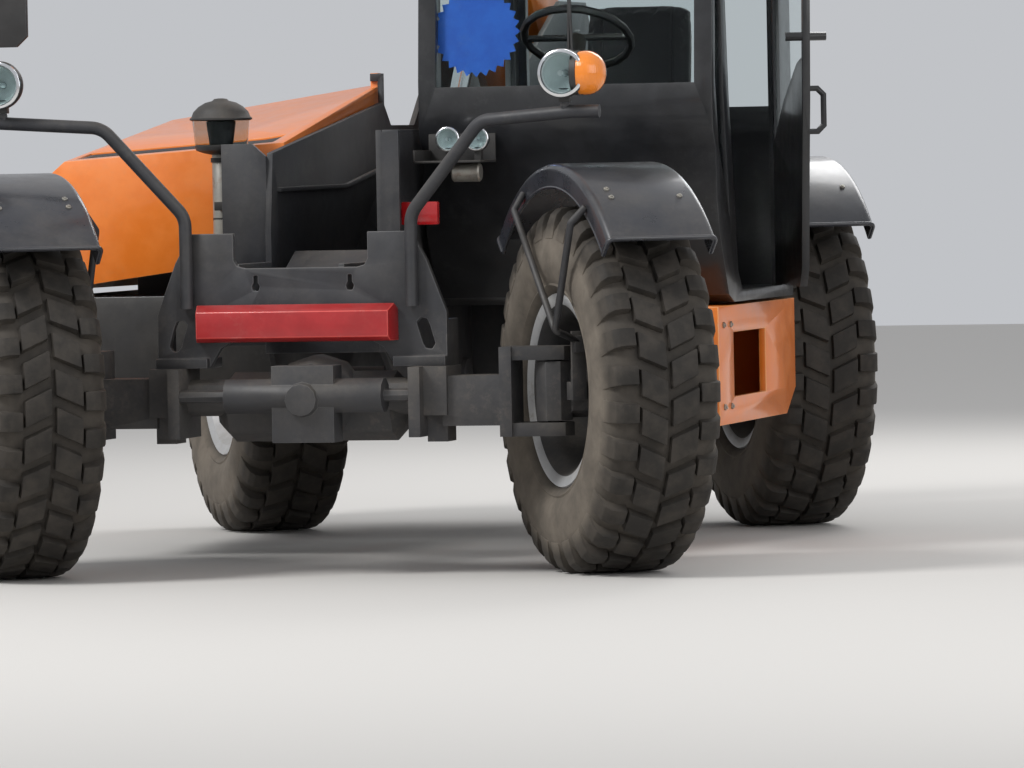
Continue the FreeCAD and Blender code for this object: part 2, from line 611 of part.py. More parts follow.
def station(shape, side, kingpin, y, steer):
    """Places a left-hand wheel piece at one corner of the machine."""
    placed = shape.copy() if side > 0 else mirrored(shape)
    placed.rotate(V(0, 0, 0), AXIS_Z, steer)
    placed.translate(point(side * kingpin, y, 0))
    return placed


# Cab

CAB_SIDE = [(CAB_Y0, 866), (CAB_Y0, 1046), (CAB_Y0 + 60, CAB_TOP_H), (CAB_Y1 - 20, CAB_TOP_H), (CAB_Y1 - 5, 836),
            (CAB_Y1 - 50, CAB_FLOOR_H), (CAB_Y0 + 300, CAB_FLOOR_H), (CAB_Y0 + 215, 290), (CAB_Y0 + 85, 500),
            (CAB_Y0 + 50, 620), (CAB_Y0 + 45, 800)]
DOOR_Y1 = CAB_Y1 - 230
DOOR_TOP_H = CAB_TOP_H - 70
DOOR_EDGE = [(CAB_Y0 + 265, 966), (CAB_Y0 + 195, DOOR_TOP_H), (DOOR_Y1, DOOR_TOP_H), (DOOR_Y1, CAB_FLOOR_H + 40),
             (CAB_Y0 + 430, CAB_FLOOR_H + 40), (CAB_Y0 + 365, 370), (CAB_Y0 + 330, 617)]
PANEL_TOP = [(CAB_Y0 + 150, 1130), (CAB_Y0 + 420, 1090), (CAB_Y0 + 780, 960), (DOOR_Y1, 800)]
QUARTER = [(CAB_Y0 + 52, 1046), (CAB_Y0 + 100, DOOR_TOP_H), (CAB_Y0 + 145, DOOR_TOP_H), (CAB_Y0 + 180, 966),
           (CAB_Y0 + 245, 560), (CAB_Y0 + 95, 800)]     # the narrow pane ahead of the door
RIGHT_PANE = [(CAB_Y0 + 160, 1026), (CAB_Y0 + 190, DOOR_TOP_H), (CAB_Y1 - 110, DOOR_TOP_H), (CAB_Y1 - 100, 1026)]
GAP = 6.0                       # round the door
PANE_T = 8.0
WIND_H0, WIND_H1 = 1028.0, DOOR_TOP_H
REAR_H0 = 946.0
POST = 62.0                     # width of the windscreen's side posts


def wind_pane(y0, y1, gap):
    """A slab across the cab's front at the windscreen's lean."""
    lean = 60.0 / (CAB_TOP_H - 1046)
    pts = [(y0 + lean * (h - 1046), h) for h in (WIND_H0 + gap, WIND_H1 - gap)]
    pts += [(y1 + lean * (h - 1046), h) for h in (WIND_H1 - gap, WIND_H0 + gap)]
    return sheet_yz(pts, CAB_X0 + POST + gap, CAB_X1 - POST - gap)


def cab_frame():
    """The cab's hollow shell with its window and door openings and the door's hinge pins."""
    shell = sheet_yz(CAB_SIDE, CAB_X0, CAB_X1)
    shell = shell.cut(sheet_yz(inset(CAB_SIDE, CAB_WALL), CAB_X0 + CAB_WALL, CAB_X1 - CAB_WALL))
    mid = (CAB_X0 + CAB_X1) / 2
    cuts = [wind_pane(CAB_Y0 - 60, CAB_Y0 + 120, 0),
            sheet_yz(DOOR_EDGE, CAB_X1 - 80, CAB_X1 + 10), sheet_yz(QUARTER, CAB_X1 - 80, CAB_X1 + 10),
            sheet_yz(RIGHT_PANE, CAB_X0 - 10, CAB_X0 + 80),
            box(CAB_X0 + 70, CAB_X1 - 70, CAB_Y1 - 120, CAB_Y1 + 80, REAR_H0, WIND_H1),
            box(mid - 350, mid + 350, CAB_Y0 + 250, CAB_Y1 - 300, CAB_TOP_H - 80, CAB_TOP_H + 40)]
    shell = shell.cut(cuts[0].multiFuse(cuts[1:]))
    pins = []
    for h in HINGE_H:
        pins.append(box(CAB_X1 - 1, HINGE_X + 12, HINGE_Y - 12, HINGE_Y + 60, h - 14, h - SEAT_GAP))
        pins.append(rod(point(HINGE_X, HINGE_Y, h - 8), point(HINGE_X, HINGE_Y, h + 70), 6))
    return fuse([shell] + pins)


def cab_roof():
    """The roof cap over the cab."""
    low = CAB_TOP_H + SEAT_GAP
    x0, x1, y0, y1 = CAB_X0 - 10, CAB_X1 + 10, CAB_Y0, CAB_Y1 + 40
    rings = []
    for grow, h in ((-14, low), (0, low + 20), (0, low + 55), (-70, low + 85)):
        a, b, c, d = x0 - grow, x1 + grow, y0 - grow, y1 + grow
        rings.append([point(x, y, h) for x, y in ((a, c), (b, c), (b, d), (a, d))])
    cap = skin(rings, False)
    return cap.cut(box(CAB_X0 + 60, CAB_X1 - 60, CAB_Y0 + 110, CAB_Y1 - 90, low - 10, low + 45))


def cab_glass():
    """Windscreen, right, rear and quarter panes, each fitted in its opening."""
    wind = wind_pane(CAB_Y0 + 18, CAB_Y0 + 18 + PANE_T, SEAT_GAP)
    right = sheet_yz(inset(RIGHT_PANE, SEAT_GAP), CAB_X0 + 20, CAB_X0 + 20 + PANE_T)
    rear = box(CAB_X0 + 70 + SEAT_GAP, CAB_X1 - 70 - SEAT_GAP, CAB_Y1 - 42, CAB_Y1 - 42 + PANE_T, REAR_H0 + SEAT_GAP,
               WIND_H1 - SEAT_GAP)
    quarter = sheet_yz(inset(QUARTER, SEAT_GAP), CAB_X1 - 22, CAB_X1 - 22 + PANE_T)
    return group([wind, right, rear, quarter])


HINGE_X, HINGE_Y = CAB_X1 + 14.0, DOOR_Y1 + 6.0
HINGE_H = (566.0, DOOR_TOP_H - 240.0)
FRAME_W = 34.0
DOOR_T = 26.0


def ajar(shape):
    """A door piece turned on its hinge as parked."""
    shape.rotate(point(HINGE_X, HINGE_Y, 0), AXIS_Z, DOOR_ANGLE)
    return shape


def below_glass(gap):
    """The part of the doorway that the door's solid panel closes, lowered by a gap."""
    low = [(DOOR_Y1, CAB_FLOOR_H), (CAB_Y0 + 150, CAB_FLOOR_H)]
    return sheet_yz([(y, h - gap) for y, h in PANEL_TOP] + low, CAB_X1 - 60, CAB_X1 + 10)


def door():
    """The cab door's frame, its lower panel, the hinge barrels, the pull handle and the latch bar."""
    frame = sheet_yz(inset(DOOR_EDGE, GAP), CAB_X1 - DOOR_T, CAB_X1)
    light = sheet_yz(inset(DOOR_EDGE, GAP + FRAME_W), CAB_X1 - 60, CAB_X1 + 10)
    frame = frame.cut(light.cut(below_glass(0)))
    parts = [frame]
    for h in HINGE_H:
        parts.append(piped([point(HINGE_X, HINGE_Y, h), point(HINGE_X, HINGE_Y, h + 90)], 12, 8))
        parts.append(box(CAB_X1 - 1, CAB_X1 + 8, DOOR_Y1 - 60, DOOR_Y1 - GAP, h + 10, h + 80))
        parts.append(box(CAB_X1 + 2, HINGE_X + 6, DOOR_Y1 - 60, HINGE_Y, h + 10, h + 80))
    y = CAB_Y0 + 300
    grip = [point(CAB_X1 + out, y, h) for out, h in ((-4, 850), (50, 850), (50, 1000), (-4, 1000))]
    parts.append(piped(eased(grip, 22, 1), 11, 6))
    y = CAB_Y0 + 268
    parts.append(piped([point(CAB_X1 - 84, y, 1181), point(CAB_X1 + 58, y, 1181)], 15, 8))
    body = fuse(parts)
    for h in HINGE_H:
        body = body.cut(rod(point(HINGE_X, HINGE_Y, h - 20), point(HINGE_X, HINGE_Y, h + 72), 6 + RUN_GAP))
    return ajar(body)


def door_glass():
    pane = sheet_yz(inset(DOOR_EDGE, GAP + FRAME_W + SEAT_GAP), CAB_X1 - 17, CAB_X1 - 17 + PANE_T)
    return ajar(pane.cut(below_glass(-SEAT_GAP)))


CAB_MID = 700.0


def inside_cab(shape):
    """The part of a shape that lies inside the cab's walls."""
    room = sheet_yz(inset(CAB_SIDE, CAB_WALL + SEAT_GAP), CAB_X0 + CAB_WALL + SEAT_GAP, CAB_X1 - CAB_WALL - SEAT_GAP)
    return shape.common(room)


def seat():
    """The driver's seat: base, cushion and backrest."""
    y = CAB_Y1 - 240
    base = box(CAB_MID - 180, CAB_MID + 180, y - 400, y, 300, 566)
    cushion = box(CAB_MID - 220, CAB_MID + 220, y - 480, y, 566, 686)
    back = sheet_yz([(y - 80, 686), (y + 30, 686), (y + 120, 1346), (y + 40, 1346)], CAB_MID - 220, CAB_MID + 220)
    return inside_cab(fuse([base, cushion, back]))


WHEEL_R = 190.0


def dashboard():
    """The front console, the steering column and its wheel."""
    y = CAB_Y0
    console = inside_cab(sheet_yz([(y + 200, 300), (y + 520, 300), (y + 500, 486), (y + 350, 946), (y + 160, 976),
                                   (y + 30, 826)], CAB_MID - 280, CAB_MID + 200))
    hub = point(CAB_MID - 50, y + 390, 1196)
    column = piped([point(CAB_MID - 50, y + 220, 900), hub], 34, 10)
    axis = V(0, 0.53, 0.85)
    spin = FreeCAD.Rotation(AXIS_Z, axis)
    rings = []
    for i in range(20):
        a = math.radians(18 * i)
        mid = V(math.cos(a), math.sin(a), 0)
        rings.append([hub + spin.multVec(mid * (WHEEL_R + 15 * math.cos(b)) + AXIS_Z * (15 * math.sin(b)))
                      for b in [math.radians(60 * k) for k in range(6)]])
    wheel = skin(rings, True)
    spoke = piped([hub - V(WHEEL_R, 0, 0), hub + V(WHEEL_R, 0, 0)], 12, 8)
    return fuse([console, column, wheel, spoke])


STEP_LOW, STEP_TOP = -162.0, 251.0
STEP_Y0, STEP_Y1 = MID_Y0 + 60, MID_Y1 - 12


def access_step():
    """The side plate with its foot hole and the box step behind it."""
    side = sheet_yz([(STEP_Y0, STEP_TOP), (STEP_Y0, STEP_LOW), (STEP_Y1 - 150, STEP_LOW), (STEP_Y1, STEP_LOW + 90),
                     (STEP_Y1, STEP_TOP)], 1190, 1215)
    side = side.cut(box(1180, 1230, STEP_Y0 + 235, STEP_Y0 + 745, -69, 156))
    x0 = 940 + SEAT_GAP
    shelf = box(x0, 1191, STEP_Y0 + 55, STEP_Y1 - 160, -144, -124)
    top = box(x0, 1191, STEP_Y0 + 20, STEP_Y1 - 40, STEP_TOP - 20, STEP_TOP)
    ends = [box(x0, 1191, y, y + 15, -125, STEP_TOP - 19) for y in (STEP_Y0 + 55, STEP_Y1 - 175)]
    return fuse([side, shelf, top] + ends)


# Boom, drawn level and forward from its pivot, then raised to the parked angle

def along(u, w, x=BAY_X):
    """A point u along the boom from its pivot and w above its middle line, boom level."""
    return point(x, PIVOT_Y - u, PIVOT_H + w)


def raised(shape):
    shape.rotate(along(0, 0, 0), AXIS_X, -BOOM_ANGLE)
    return shape


def boom_bar(u0, u1, width, height, bevel=45.0):
    """A solid boom section with bevelled lower corners."""
    w, h = width / 2, height / 2
    pts = [(-w, h), (w, h), (w, -h + bevel), (w - bevel, -h), (-w + bevel, -h), (-w, -h + bevel)]
    return skin([[along(u, z, BAY_X + x) for x, z in pts] for u in (u0, u1)], False)


def boom_tube(u0, u1, width, height, wall):
    """A boxed boom section."""
    core = boom_bar(u0 - 5, u1 + 5, width - 2 * wall, height - 2 * wall, 45 - wall * 0.58)
    return boom_bar(u0, u1, width, height).cut(core)


def outer_boom():
    """The outer boom: pivot bush, nose collar with wear pads, and the ears for the lift cylinder."""
    parts = [boom_tube(-BOOM_TAIL, BOOM_NOSE, BOOM_W, BOOM_H, BOOM_WALL),
             boom_tube(BOOM_NOSE - 60, BOOM_NOSE, BOOM_W + 30, BOOM_H + 30, BOOM_WALL + 15)]
    reach = BAY_HALF - 8
    parts.append(piped([along(0, 0, BAY_X - reach), along(0, 0, BAY_X + reach)], 75, 14))
    inner_h, inner_w = BOOM_H / 2 - BOOM_WALL, BOOM_W / 2 - BOOM_WALL
    pads = boom_bar(BOOM_NOSE - 80, BOOM_NOSE, 2 * inner_w + 2, 2 * inner_h + 2, 40)
    slide = boom_bar(BOOM_NOSE - 100, BOOM_NOSE + 20, INNER_W + 2 * SEAT_GAP, INNER_H + 2 * SEAT_GAP)
    parts.append(pads.cut(slide))
    for side in (-1, 1):
        x0, x1 = sorted((BAY_X + side * 60, BAY_X + side * 85))
        y, h = PIVOT_Y - EYE_U, PIVOT_H
        parts.append(sheet_yz([(y - 150, h - BOOM_H / 2 + 1), (y + 150, h - BOOM_H / 2 + 1), (y + 55, h - EYE_W - 60),
                               (y - 55, h - EYE_W - 60)], x0, x1))
    bore = rod(along(0, 0, BAY_X - reach - 20), along(0, 0, BAY_X + reach + 20), PIVOT_R + RUN_GAP)
    return raised(fuse(parts).cut(bore))


def inner_boom():
    """The sliding boom and its drop head with the carriage's pin."""
    tube = boom_tube(INNER_TAIL, INNER_NOSE, INNER_W, INNER_H, BOOM_WALL)
    # columns: along from the nose or the hinge, across
    head = [(INNER_NOSE - 120, 152), (INNER_NOSE + 240, 120), (HEAD_U + 70, HEAD_W + 40), (HEAD_U + 40, HEAD_W - 60),
            (HEAD_U - 60, HEAD_W - 60), (INNER_NOSE + 60, -170), (INNER_NOSE - 120, -152)]
    cheek = sheet_yz([(PIVOT_Y - u, PIVOT_H + w) for u, w in head], BAY_X - 110, BAY_X + 110)
    gap = box(BAY_X - 85, BAY_X + 85, PIVOT_Y - HEAD_U - 120, PIVOT_Y - INNER_NOSE - 60, PIVOT_H - 700, PIVOT_H + 100)
    pin = rod(along(HEAD_U, HEAD_W, BAY_X - 85), along(HEAD_U, HEAD_W, BAY_X + 85), HINGE_R)
    return raised(fuse([tube, cheek.cut(gap), pin]))


def hinge_point():
    """The carriage hinge of the raised boom, behind the front axle and above the axles."""
    a = math.radians(BOOM_ANGLE)
    return (PIVOT_Y - HEAD_U * math.cos(a) + HEAD_W * math.sin(a),
            PIVOT_H + HEAD_U * math.sin(a) + HEAD_W * math.cos(a))


CARRIAGE_HALF = 600.0
BAR_FACE = 195.0                # the cross bars' front face ahead of the hinge


def carriage():
    """The tool carriage: hinge lug, uprights and two cross bars."""
    y, h = hinge_point()
    lug_half = 70
    plate = sheet_yz([(y + 40, h + 58), (y + 62, h + 25), (y + 62, h - 25), (y + 40, h - 58), (y - 150, h - 130),
                      (y - 150, h + 220)], BAY_X - lug_half, BAY_X + lug_half)
    plate = plate.cut(rod(point(BAY_X - 90, y, h), point(BAY_X + 90, y, h), HINGE_R + RUN_GAP))
    bars = [box(BAY_X - CARRIAGE_HALF, BAY_X + CARRIAGE_HALF, y - BAR_FACE, y - BAR_FACE + 40, h + low, h + low + 100)
            for low in (180, -200)]
    posts = [box(BAY_X + x - 25, BAY_X + x + 25, y - BAR_FACE + 5, y - BAR_FACE + 55, h - 190, h + 270)
             for x in (-575, -60, 60, 575)]
    return fuse([plate] + bars + posts)


FORK_X, FORK_LEN, FORK_W, FORK_THICK = 330.0, 1150.0, 120.0, 45.0


def forks():
    """Two pallet forks hooked on the carriage's bars."""
    y, h = hinge_point()
    back = y - BAR_FACE - SEAT_GAP
    heel = back - FORK_THICK
    out = []
    for x in (-FORK_X, FORK_X):
        pts = [(back, h + 300), (heel, h + 300), (heel, h - 215), (heel - FORK_LEN, h - 215), (heel - FORK_LEN, h - 225),
               (heel - FORK_LEN * 0.35, h - 262), (back, h - 262)]
        hook = box(BAY_X + x - FORK_W / 2, BAY_X + x + FORK_W / 2, back - 1, back + 30, h + 280 + SEAT_GAP, h + 300)
        out.append(fuse([sheet_yz(pts, BAY_X + x - FORK_W / 2, BAY_X + x + FORK_W / 2), hook]))
    return group(out)


def lift_ends():
    """Foot pin and rod eye of the lift cylinder at the parked angle."""
    a = math.radians(BOOM_ANGLE)
    eye = point(BAY_X, PIVOT_Y - EYE_U * math.cos(a) - EYE_W * math.sin(a),
                PIVOT_H + EYE_U * math.sin(a) - EYE_W * math.cos(a))
    return point(BAY_X, FOOT_Y, FOOT_H), eye


BARREL_L = 1240.0


def lift_barrel():
    """The lift cylinder's barrel with its gland and foot eye."""
    foot, eye = lift_ends()
    d = (eye - foot).normalize()
    tube = piped([foot + d * 40, foot + d * (BARREL_L - 40)], 72, 10)
    gland = piped([foot + d * (BARREL_L - 41), foot + d * BARREL_L], 80, 10)
    boss = piped([foot - V(55, 0, 0), foot + V(55, 0, 0)], 70, 12)
    body = fuse([tube, gland, boss]).cut(piped([foot + d * 95, foot + d * (BARREL_L - 40)], 62, 10))
    body = body.cut(rod(foot + d * (BARREL_L - 60), foot + d * (BARREL_L + 10), FOOT_R + SEAT_GAP))
    return body.cut(rod(foot - V(80, 0, 0), foot + V(80, 0, 0), FOOT_R + RUN_GAP))


def lift_rod():
    """The lift cylinder's rod, piston and eye."""
    foot, eye = lift_ends()
    d = (eye - foot).normalize()
    stem = rod(eye - d * 1215, eye - d * 40, FOOT_R)
    piston = piped([eye - d * 1235, eye - d * 1205], 59, 10)
    boss = piped([eye - V(48, 0, 0), eye + V(48, 0, 0)], 60, 12)
    return fuse([stem, piston, boss])


MAKERS = (side_plates, belly_plates, nose_plate, bumper_bar, counterweight, lamp_arms, front_lamps, mirror,
          engine_hood, hood_grille, engine_block, fuel_tank, pre_cleaner, steer_cylinders, cab_frame, cab_roof,
          cab_glass, door, door_glass, seat, dashboard, access_step, outer_boom, inner_boom, carriage, forks,
          lift_barrel, lift_rod)
# columns: name, side, kingpin, place, steering angle
CORNERS = (("front_left", 1, FRONT_KINGPIN, 0.0, FRONT_STEER), ("front_right", -1, FRONT_KINGPIN, 0.0, FRONT_STEER),
           ("rear_left", 1, REAR_KINGPIN, WHEELBASE, REAR_STEER),
           ("rear_right", -1, REAR_KINGPIN, WHEELBASE, REAR_STEER))


def main():
    os.makedirs(OUT_DIR, exist_ok=True)
    shapes = {make.__name__: make() for make in MAKERS}
    shapes["front_axle"] = axle(0, 1, FRONT_KINGPIN)
    shapes["rear_axle"] = axle(WHEELBASE, -1, REAR_KINGPIN)
    for make in (knuckle, mudguard, tyre, rim):
        left = make()
        for corner, side, kingpin, y, steer in CORNERS:
            shapes[corner + "_" + make.__name__] = station(left, side, kingpin, y, steer)
    whole = FreeCAD.BoundBox()
    for name, shape in shapes.items():
        shape.exportStep(os.path.join(OUT_DIR, name + ".step"))
        whole.add(shape.BoundBox)
        print(name, len(shape.Solids), shape.isValid(), round(shape.Volume / 1e6, 2))
    print("box", [round(v, 1) for v in (whole.XMin, whole.XMax, whole.YMin, whole.YMax, whole.ZMin, whole.ZMax)])


main()
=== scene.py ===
# Telehandler, dressed over its CAD frame. Metres, +X is the machine's left, -Y its front, +Z up.
import bpy
import bmesh
import json
import math
from mathutils import Matrix, Vector


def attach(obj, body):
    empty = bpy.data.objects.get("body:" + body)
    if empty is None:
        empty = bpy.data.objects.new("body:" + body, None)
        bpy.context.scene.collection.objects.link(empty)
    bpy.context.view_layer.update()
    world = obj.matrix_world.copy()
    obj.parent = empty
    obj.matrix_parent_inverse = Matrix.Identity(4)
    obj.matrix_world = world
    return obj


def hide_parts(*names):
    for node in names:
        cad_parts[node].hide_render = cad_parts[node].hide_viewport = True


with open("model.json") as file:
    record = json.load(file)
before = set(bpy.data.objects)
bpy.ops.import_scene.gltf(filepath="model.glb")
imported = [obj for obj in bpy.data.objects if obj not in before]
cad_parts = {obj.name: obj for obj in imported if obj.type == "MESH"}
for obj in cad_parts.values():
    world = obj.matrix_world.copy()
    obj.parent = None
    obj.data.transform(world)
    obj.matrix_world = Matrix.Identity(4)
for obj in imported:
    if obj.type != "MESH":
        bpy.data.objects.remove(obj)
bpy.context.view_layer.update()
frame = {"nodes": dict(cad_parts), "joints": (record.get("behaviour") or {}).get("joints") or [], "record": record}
record = frame["record"]
bodyOfNode = {n: b for b, nodes in record["behaviour"]["bodies"].items() for n in nodes}
slotOfNode = {s["node"]: s["material_slot"] for s in record["subparts"]}
joints = {j["name"]: j for j in frame["joints"]}
corners = ["front_left", "front_right", "rear_left", "rear_right"]
print("frame loaded:", len(frame["nodes"]), "nodes")


# Shared shader effects, each a node group

def newGroup(name, inputs, outputs):
    group = bpy.data.node_groups.new(name, "ShaderNodeTree")
    for label, value in inputs.items():
        socket = group.interface.new_socket(label, in_out="INPUT", socket_type="NodeSocketFloat")
        socket.default_value = value
    for label in outputs:
        group.interface.new_socket(label, in_out="OUTPUT", socket_type="NodeSocketFloat")
    return group, group.nodes.new("NodeGroupInput"), group.nodes.new("NodeGroupOutput")


def math2(tree, operation, a, b=0.5, clamp=False):
    # A Math node fed by sockets or numbers.
    node = tree.nodes.new("ShaderNodeMath")
    node.operation = operation
    node.use_clamp = clamp
    for socket, value in zip(node.inputs, (a, b)):
        if hasattr(value, "is_linked"):
            tree.links.new(value, socket)
        else:
            socket.default_value = value
    return node.outputs[0]


def noiseMap(tree, vector, scale, detail=4.0, rough=0.55):
    node = tree.nodes.new("ShaderNodeTexNoise")
    tree.links.new(vector, node.inputs["Vector"])
    if hasattr(scale, "is_linked"):
        tree.links.new(scale, node.inputs["Scale"])
    else:
        node.inputs["Scale"].default_value = scale
    node.inputs["Detail"].default_value = detail
    node.inputs["Roughness"].default_value = rough
    return node.outputs["Fac"]


def ramp(tree, value, low, high):
    # Value stretched so that low becomes 0 and high becomes 1.
    node = tree.nodes.new("ShaderNodeMapRange")
    node.interpolation_type = "SMOOTHSTEP"
    tree.links.new(value, node.inputs["Value"])
    node.inputs["From Min"].default_value = low
    node.inputs["From Max"].default_value = high
    return node.outputs["Result"]


def buildDustGroup():
    # settles on faces that look up and in soft clouds, and thins out with height
    group, given, out = newGroup("dustFilm", {"Amount": 0.3, "Scale": 3.0}, ["Mask"])
    place = group.nodes.new("ShaderNodeTexCoord").outputs["Object"]
    geometry = group.nodes.new("ShaderNodeNewGeometry")
    split = group.nodes.new("ShaderNodeSeparateXYZ")
    group.links.new(geometry.outputs["Normal"], split.inputs[0])
    spot = group.nodes.new("ShaderNodeSeparateXYZ")
    group.links.new(place, spot.inputs[0])
    upward = ramp(group, split.outputs["Z"], -0.35, 1.0)
    lowDown = math2(group, "SUBTRACT", 1.0, ramp(group, spot.outputs["Z"], 0.2, 2.2))
    clouds = ramp(group, noiseMap(group, place, given.outputs["Scale"], 6, 0.62), 0.34, 0.72)
    fine = ramp(group, noiseMap(group, place, 60.0, 3, 0.7), 0.3, 0.75)
    lift = math2(group, "ADD", math2(group, "MULTIPLY", upward, 0.75), math2(group, "MULTIPLY", lowDown, 0.45))
    film = math2(group, "MULTIPLY", lift, math2(group, "ADD", math2(group, "MULTIPLY", clouds, 0.8), 0.25))
    film = math2(group, "MULTIPLY", film, math2(group, "ADD", math2(group, "MULTIPLY", fine, 0.35), 0.75))
    group.links.new(math2(group, "MULTIPLY", film, given.outputs["Amount"], True), out.inputs["Mask"])
    return group


def buildGrainGroup():
    # small height changes: orange peel in paint, cast skin, moulded grain
    group, given, out = newGroup("surfaceGrain", {"Scale": 220.0, "Waviness": 0.3}, ["Height", "Patches"])
    place = group.nodes.new("ShaderNodeTexCoord").outputs["Object"]
    fine = noiseMap(group, place, given.outputs["Scale"], 3, 0.6)
    broad = noiseMap(group, place, 7.0, 3, 0.5)
    wavy = math2(group, "MULTIPLY", broad, given.outputs["Waviness"])
    group.links.new(math2(group, "ADD", fine, wavy), out.inputs["Height"])
    group.links.new(ramp(group, noiseMap(group, place, 11.0, 5, 0.65), 0.35, 0.68), out.inputs["Patches"])
    return group


def buildScuffGroup():
    # streaks and small chips, used on edges and on dark paint
    group, given, out = newGroup("scuffs", {"Amount": 0.5, "Scale": 28.0}, ["Mask"])
    place = group.nodes.new("ShaderNodeTexCoord").outputs["Object"]
    broken = ramp(group, noiseMap(group, place, given.outputs["Scale"], 6, 0.75), 0.5, 0.62)
    where = ramp(group, noiseMap(group, place, 4.0, 3, 0.6), 0.42, 0.66)
    marks = math2(group, "MULTIPLY", broken, where)
    group.links.new(math2(group, "MULTIPLY", marks, given.outputs["Amount"], True), out.inputs["Mask"])
    return group


dustGroup = buildDustGroup()
grainGroup = buildGrainGroup()
scuffGroup = buildScuffGroup()


# Materials

dustLook = {"colour": (0.30, 0.255, 0.195, 1.0), "roughness": 0.85, "scale": 3.0}


def placeGroup(tree, group, **values):
    node = tree.nodes.new("ShaderNodeGroup")
    node.node_tree = group
    for label, value in values.items():
        node.inputs[label].default_value = value
    return node


def mixColour(tree, mask, low, high):
    node = tree.nodes.new("ShaderNodeMix")
    node.data_type = "RGBA"
    ends = (node.inputs[6], node.inputs[7])
    for socket, value in zip(ends, (low, high)):
        if hasattr(value, "is_linked"):
            tree.links.new(value, socket)
        else:
            socket.default_value = value
    tree.links.new(mask, node.inputs[0])
    return node.outputs[2]


def mixValue(tree, mask, low, high):
    span = math2(tree, "MULTIPLY", mask, high - low)
    return math2(tree, "ADD", span, low)


def newMaterial(name):
    material = bpy.data.materials.new(name)
    material.use_nodes = True
    tree = material.node_tree
    return material, tree, tree.nodes["Principled BSDF"]


def weathered(name, colour, second, roughness=0.4, metallic=0.0, coat=0.0, dust=0.3, scuff=0.3,
              scuffColour=(0.25, 0.24, 0.22, 1.0), grain=220.0, waviness=0.3, bump=0.05):
    # Paint, plastic or casting: two tones in patches, scuffs, dust film and a fine bump.
    material, tree, shader = newMaterial(name)
    link = tree.links.new
    skin = placeGroup(tree, grainGroup, Scale=grain, Waviness=waviness)
    film = placeGroup(tree, dustGroup, Amount=dust, Scale=dustLook["scale"])
    marks = placeGroup(tree, scuffGroup, Amount=scuff)
    tone = mixColour(tree, skin.outputs["Patches"], colour, second)
    tone = mixColour(tree, marks.outputs["Mask"], tone, scuffColour)
    tone = mixColour(tree, film.outputs["Mask"], tone, dustLook["colour"])
    link(tone, shader.inputs["Base Color"])
    rough = mixValue(tree, skin.outputs["Patches"], roughness, min(1.0, roughness + 0.1))
    dulled = math2(tree, "MULTIPLY", film.outputs["Mask"], dustLook["roughness"] - roughness)
    link(math2(tree, "ADD", rough, dulled, True), shader.inputs["Roughness"])
    relief = tree.nodes.new("ShaderNodeBump")
    relief.inputs["Strength"].default_value = bump
    relief.inputs["Distance"].default_value = 0.002
    link(skin.outputs["Height"], relief.inputs["Height"])
    link(relief.outputs["Normal"], shader.inputs["Normal"])
    shader.inputs["Metallic"].default_value = metallic
    shader.inputs["Coat Weight"].default_value = coat
    shader.inputs["Coat Roughness"].default_value = 0.12
    return material


def clearGlass(name, tint, roughness=0.02, dust=0.12):
    # Window or lens: tinted, see-through, with a little dust.
    material, tree, shader = newMaterial(name)
    link = tree.links.new
    film = placeGroup(tree, dustGroup, Amount=dust, Scale=2.0)
    link(mixColour(tree, film.outputs["Mask"], tint, dustLook["colour"]), shader.inputs["Base Color"])
    link(mixValue(tree, film.outputs["Mask"], roughness, 0.35), shader.inputs["Roughness"])
    shader.inputs["Transmission Weight"].default_value = 1.0
    shader.inputs["IOR"].default_value = 1.02
    shader.inputs["Specular IOR Level"].default_value = 0.5
    return material


def lampLens(name, colour):
    # Moulded lens with fine ribs.
    material, tree, shader = newMaterial(name)
    link = tree.links.new
    place = tree.nodes.new("ShaderNodeTexCoord").outputs["Object"]
    ribs = tree.nodes.new("ShaderNodeTexWave")
    ribs.inputs["Scale"].default_value = 60.0
    ribs.inputs["Distortion"].default_value = 0.4
    link(place, ribs.inputs["Vector"])
    film = placeGroup(tree, dustGroup, Amount=0.2, Scale=6.0)
    tone = mixColour(tree, film.outputs["Mask"], colour, dustLook["colour"])
    link(tone, shader.inputs["Base Color"])
    relief = tree.nodes.new("ShaderNodeBump")
    relief.inputs["Strength"].default_value = 0.35
    relief.inputs["Distance"].default_value = 0.001
    link(ribs.outputs["Fac"], relief.inputs["Height"])
    link(relief.outputs["Normal"], shader.inputs["Normal"])
    link(mixValue(tree, film.outputs["Mask"], 0.08, 0.4), shader.inputs["Roughness"])
    shader.inputs["Transmission Weight"].default_value = 0.1
    shader.inputs["Coat Weight"].default_value = 0.6
    return material


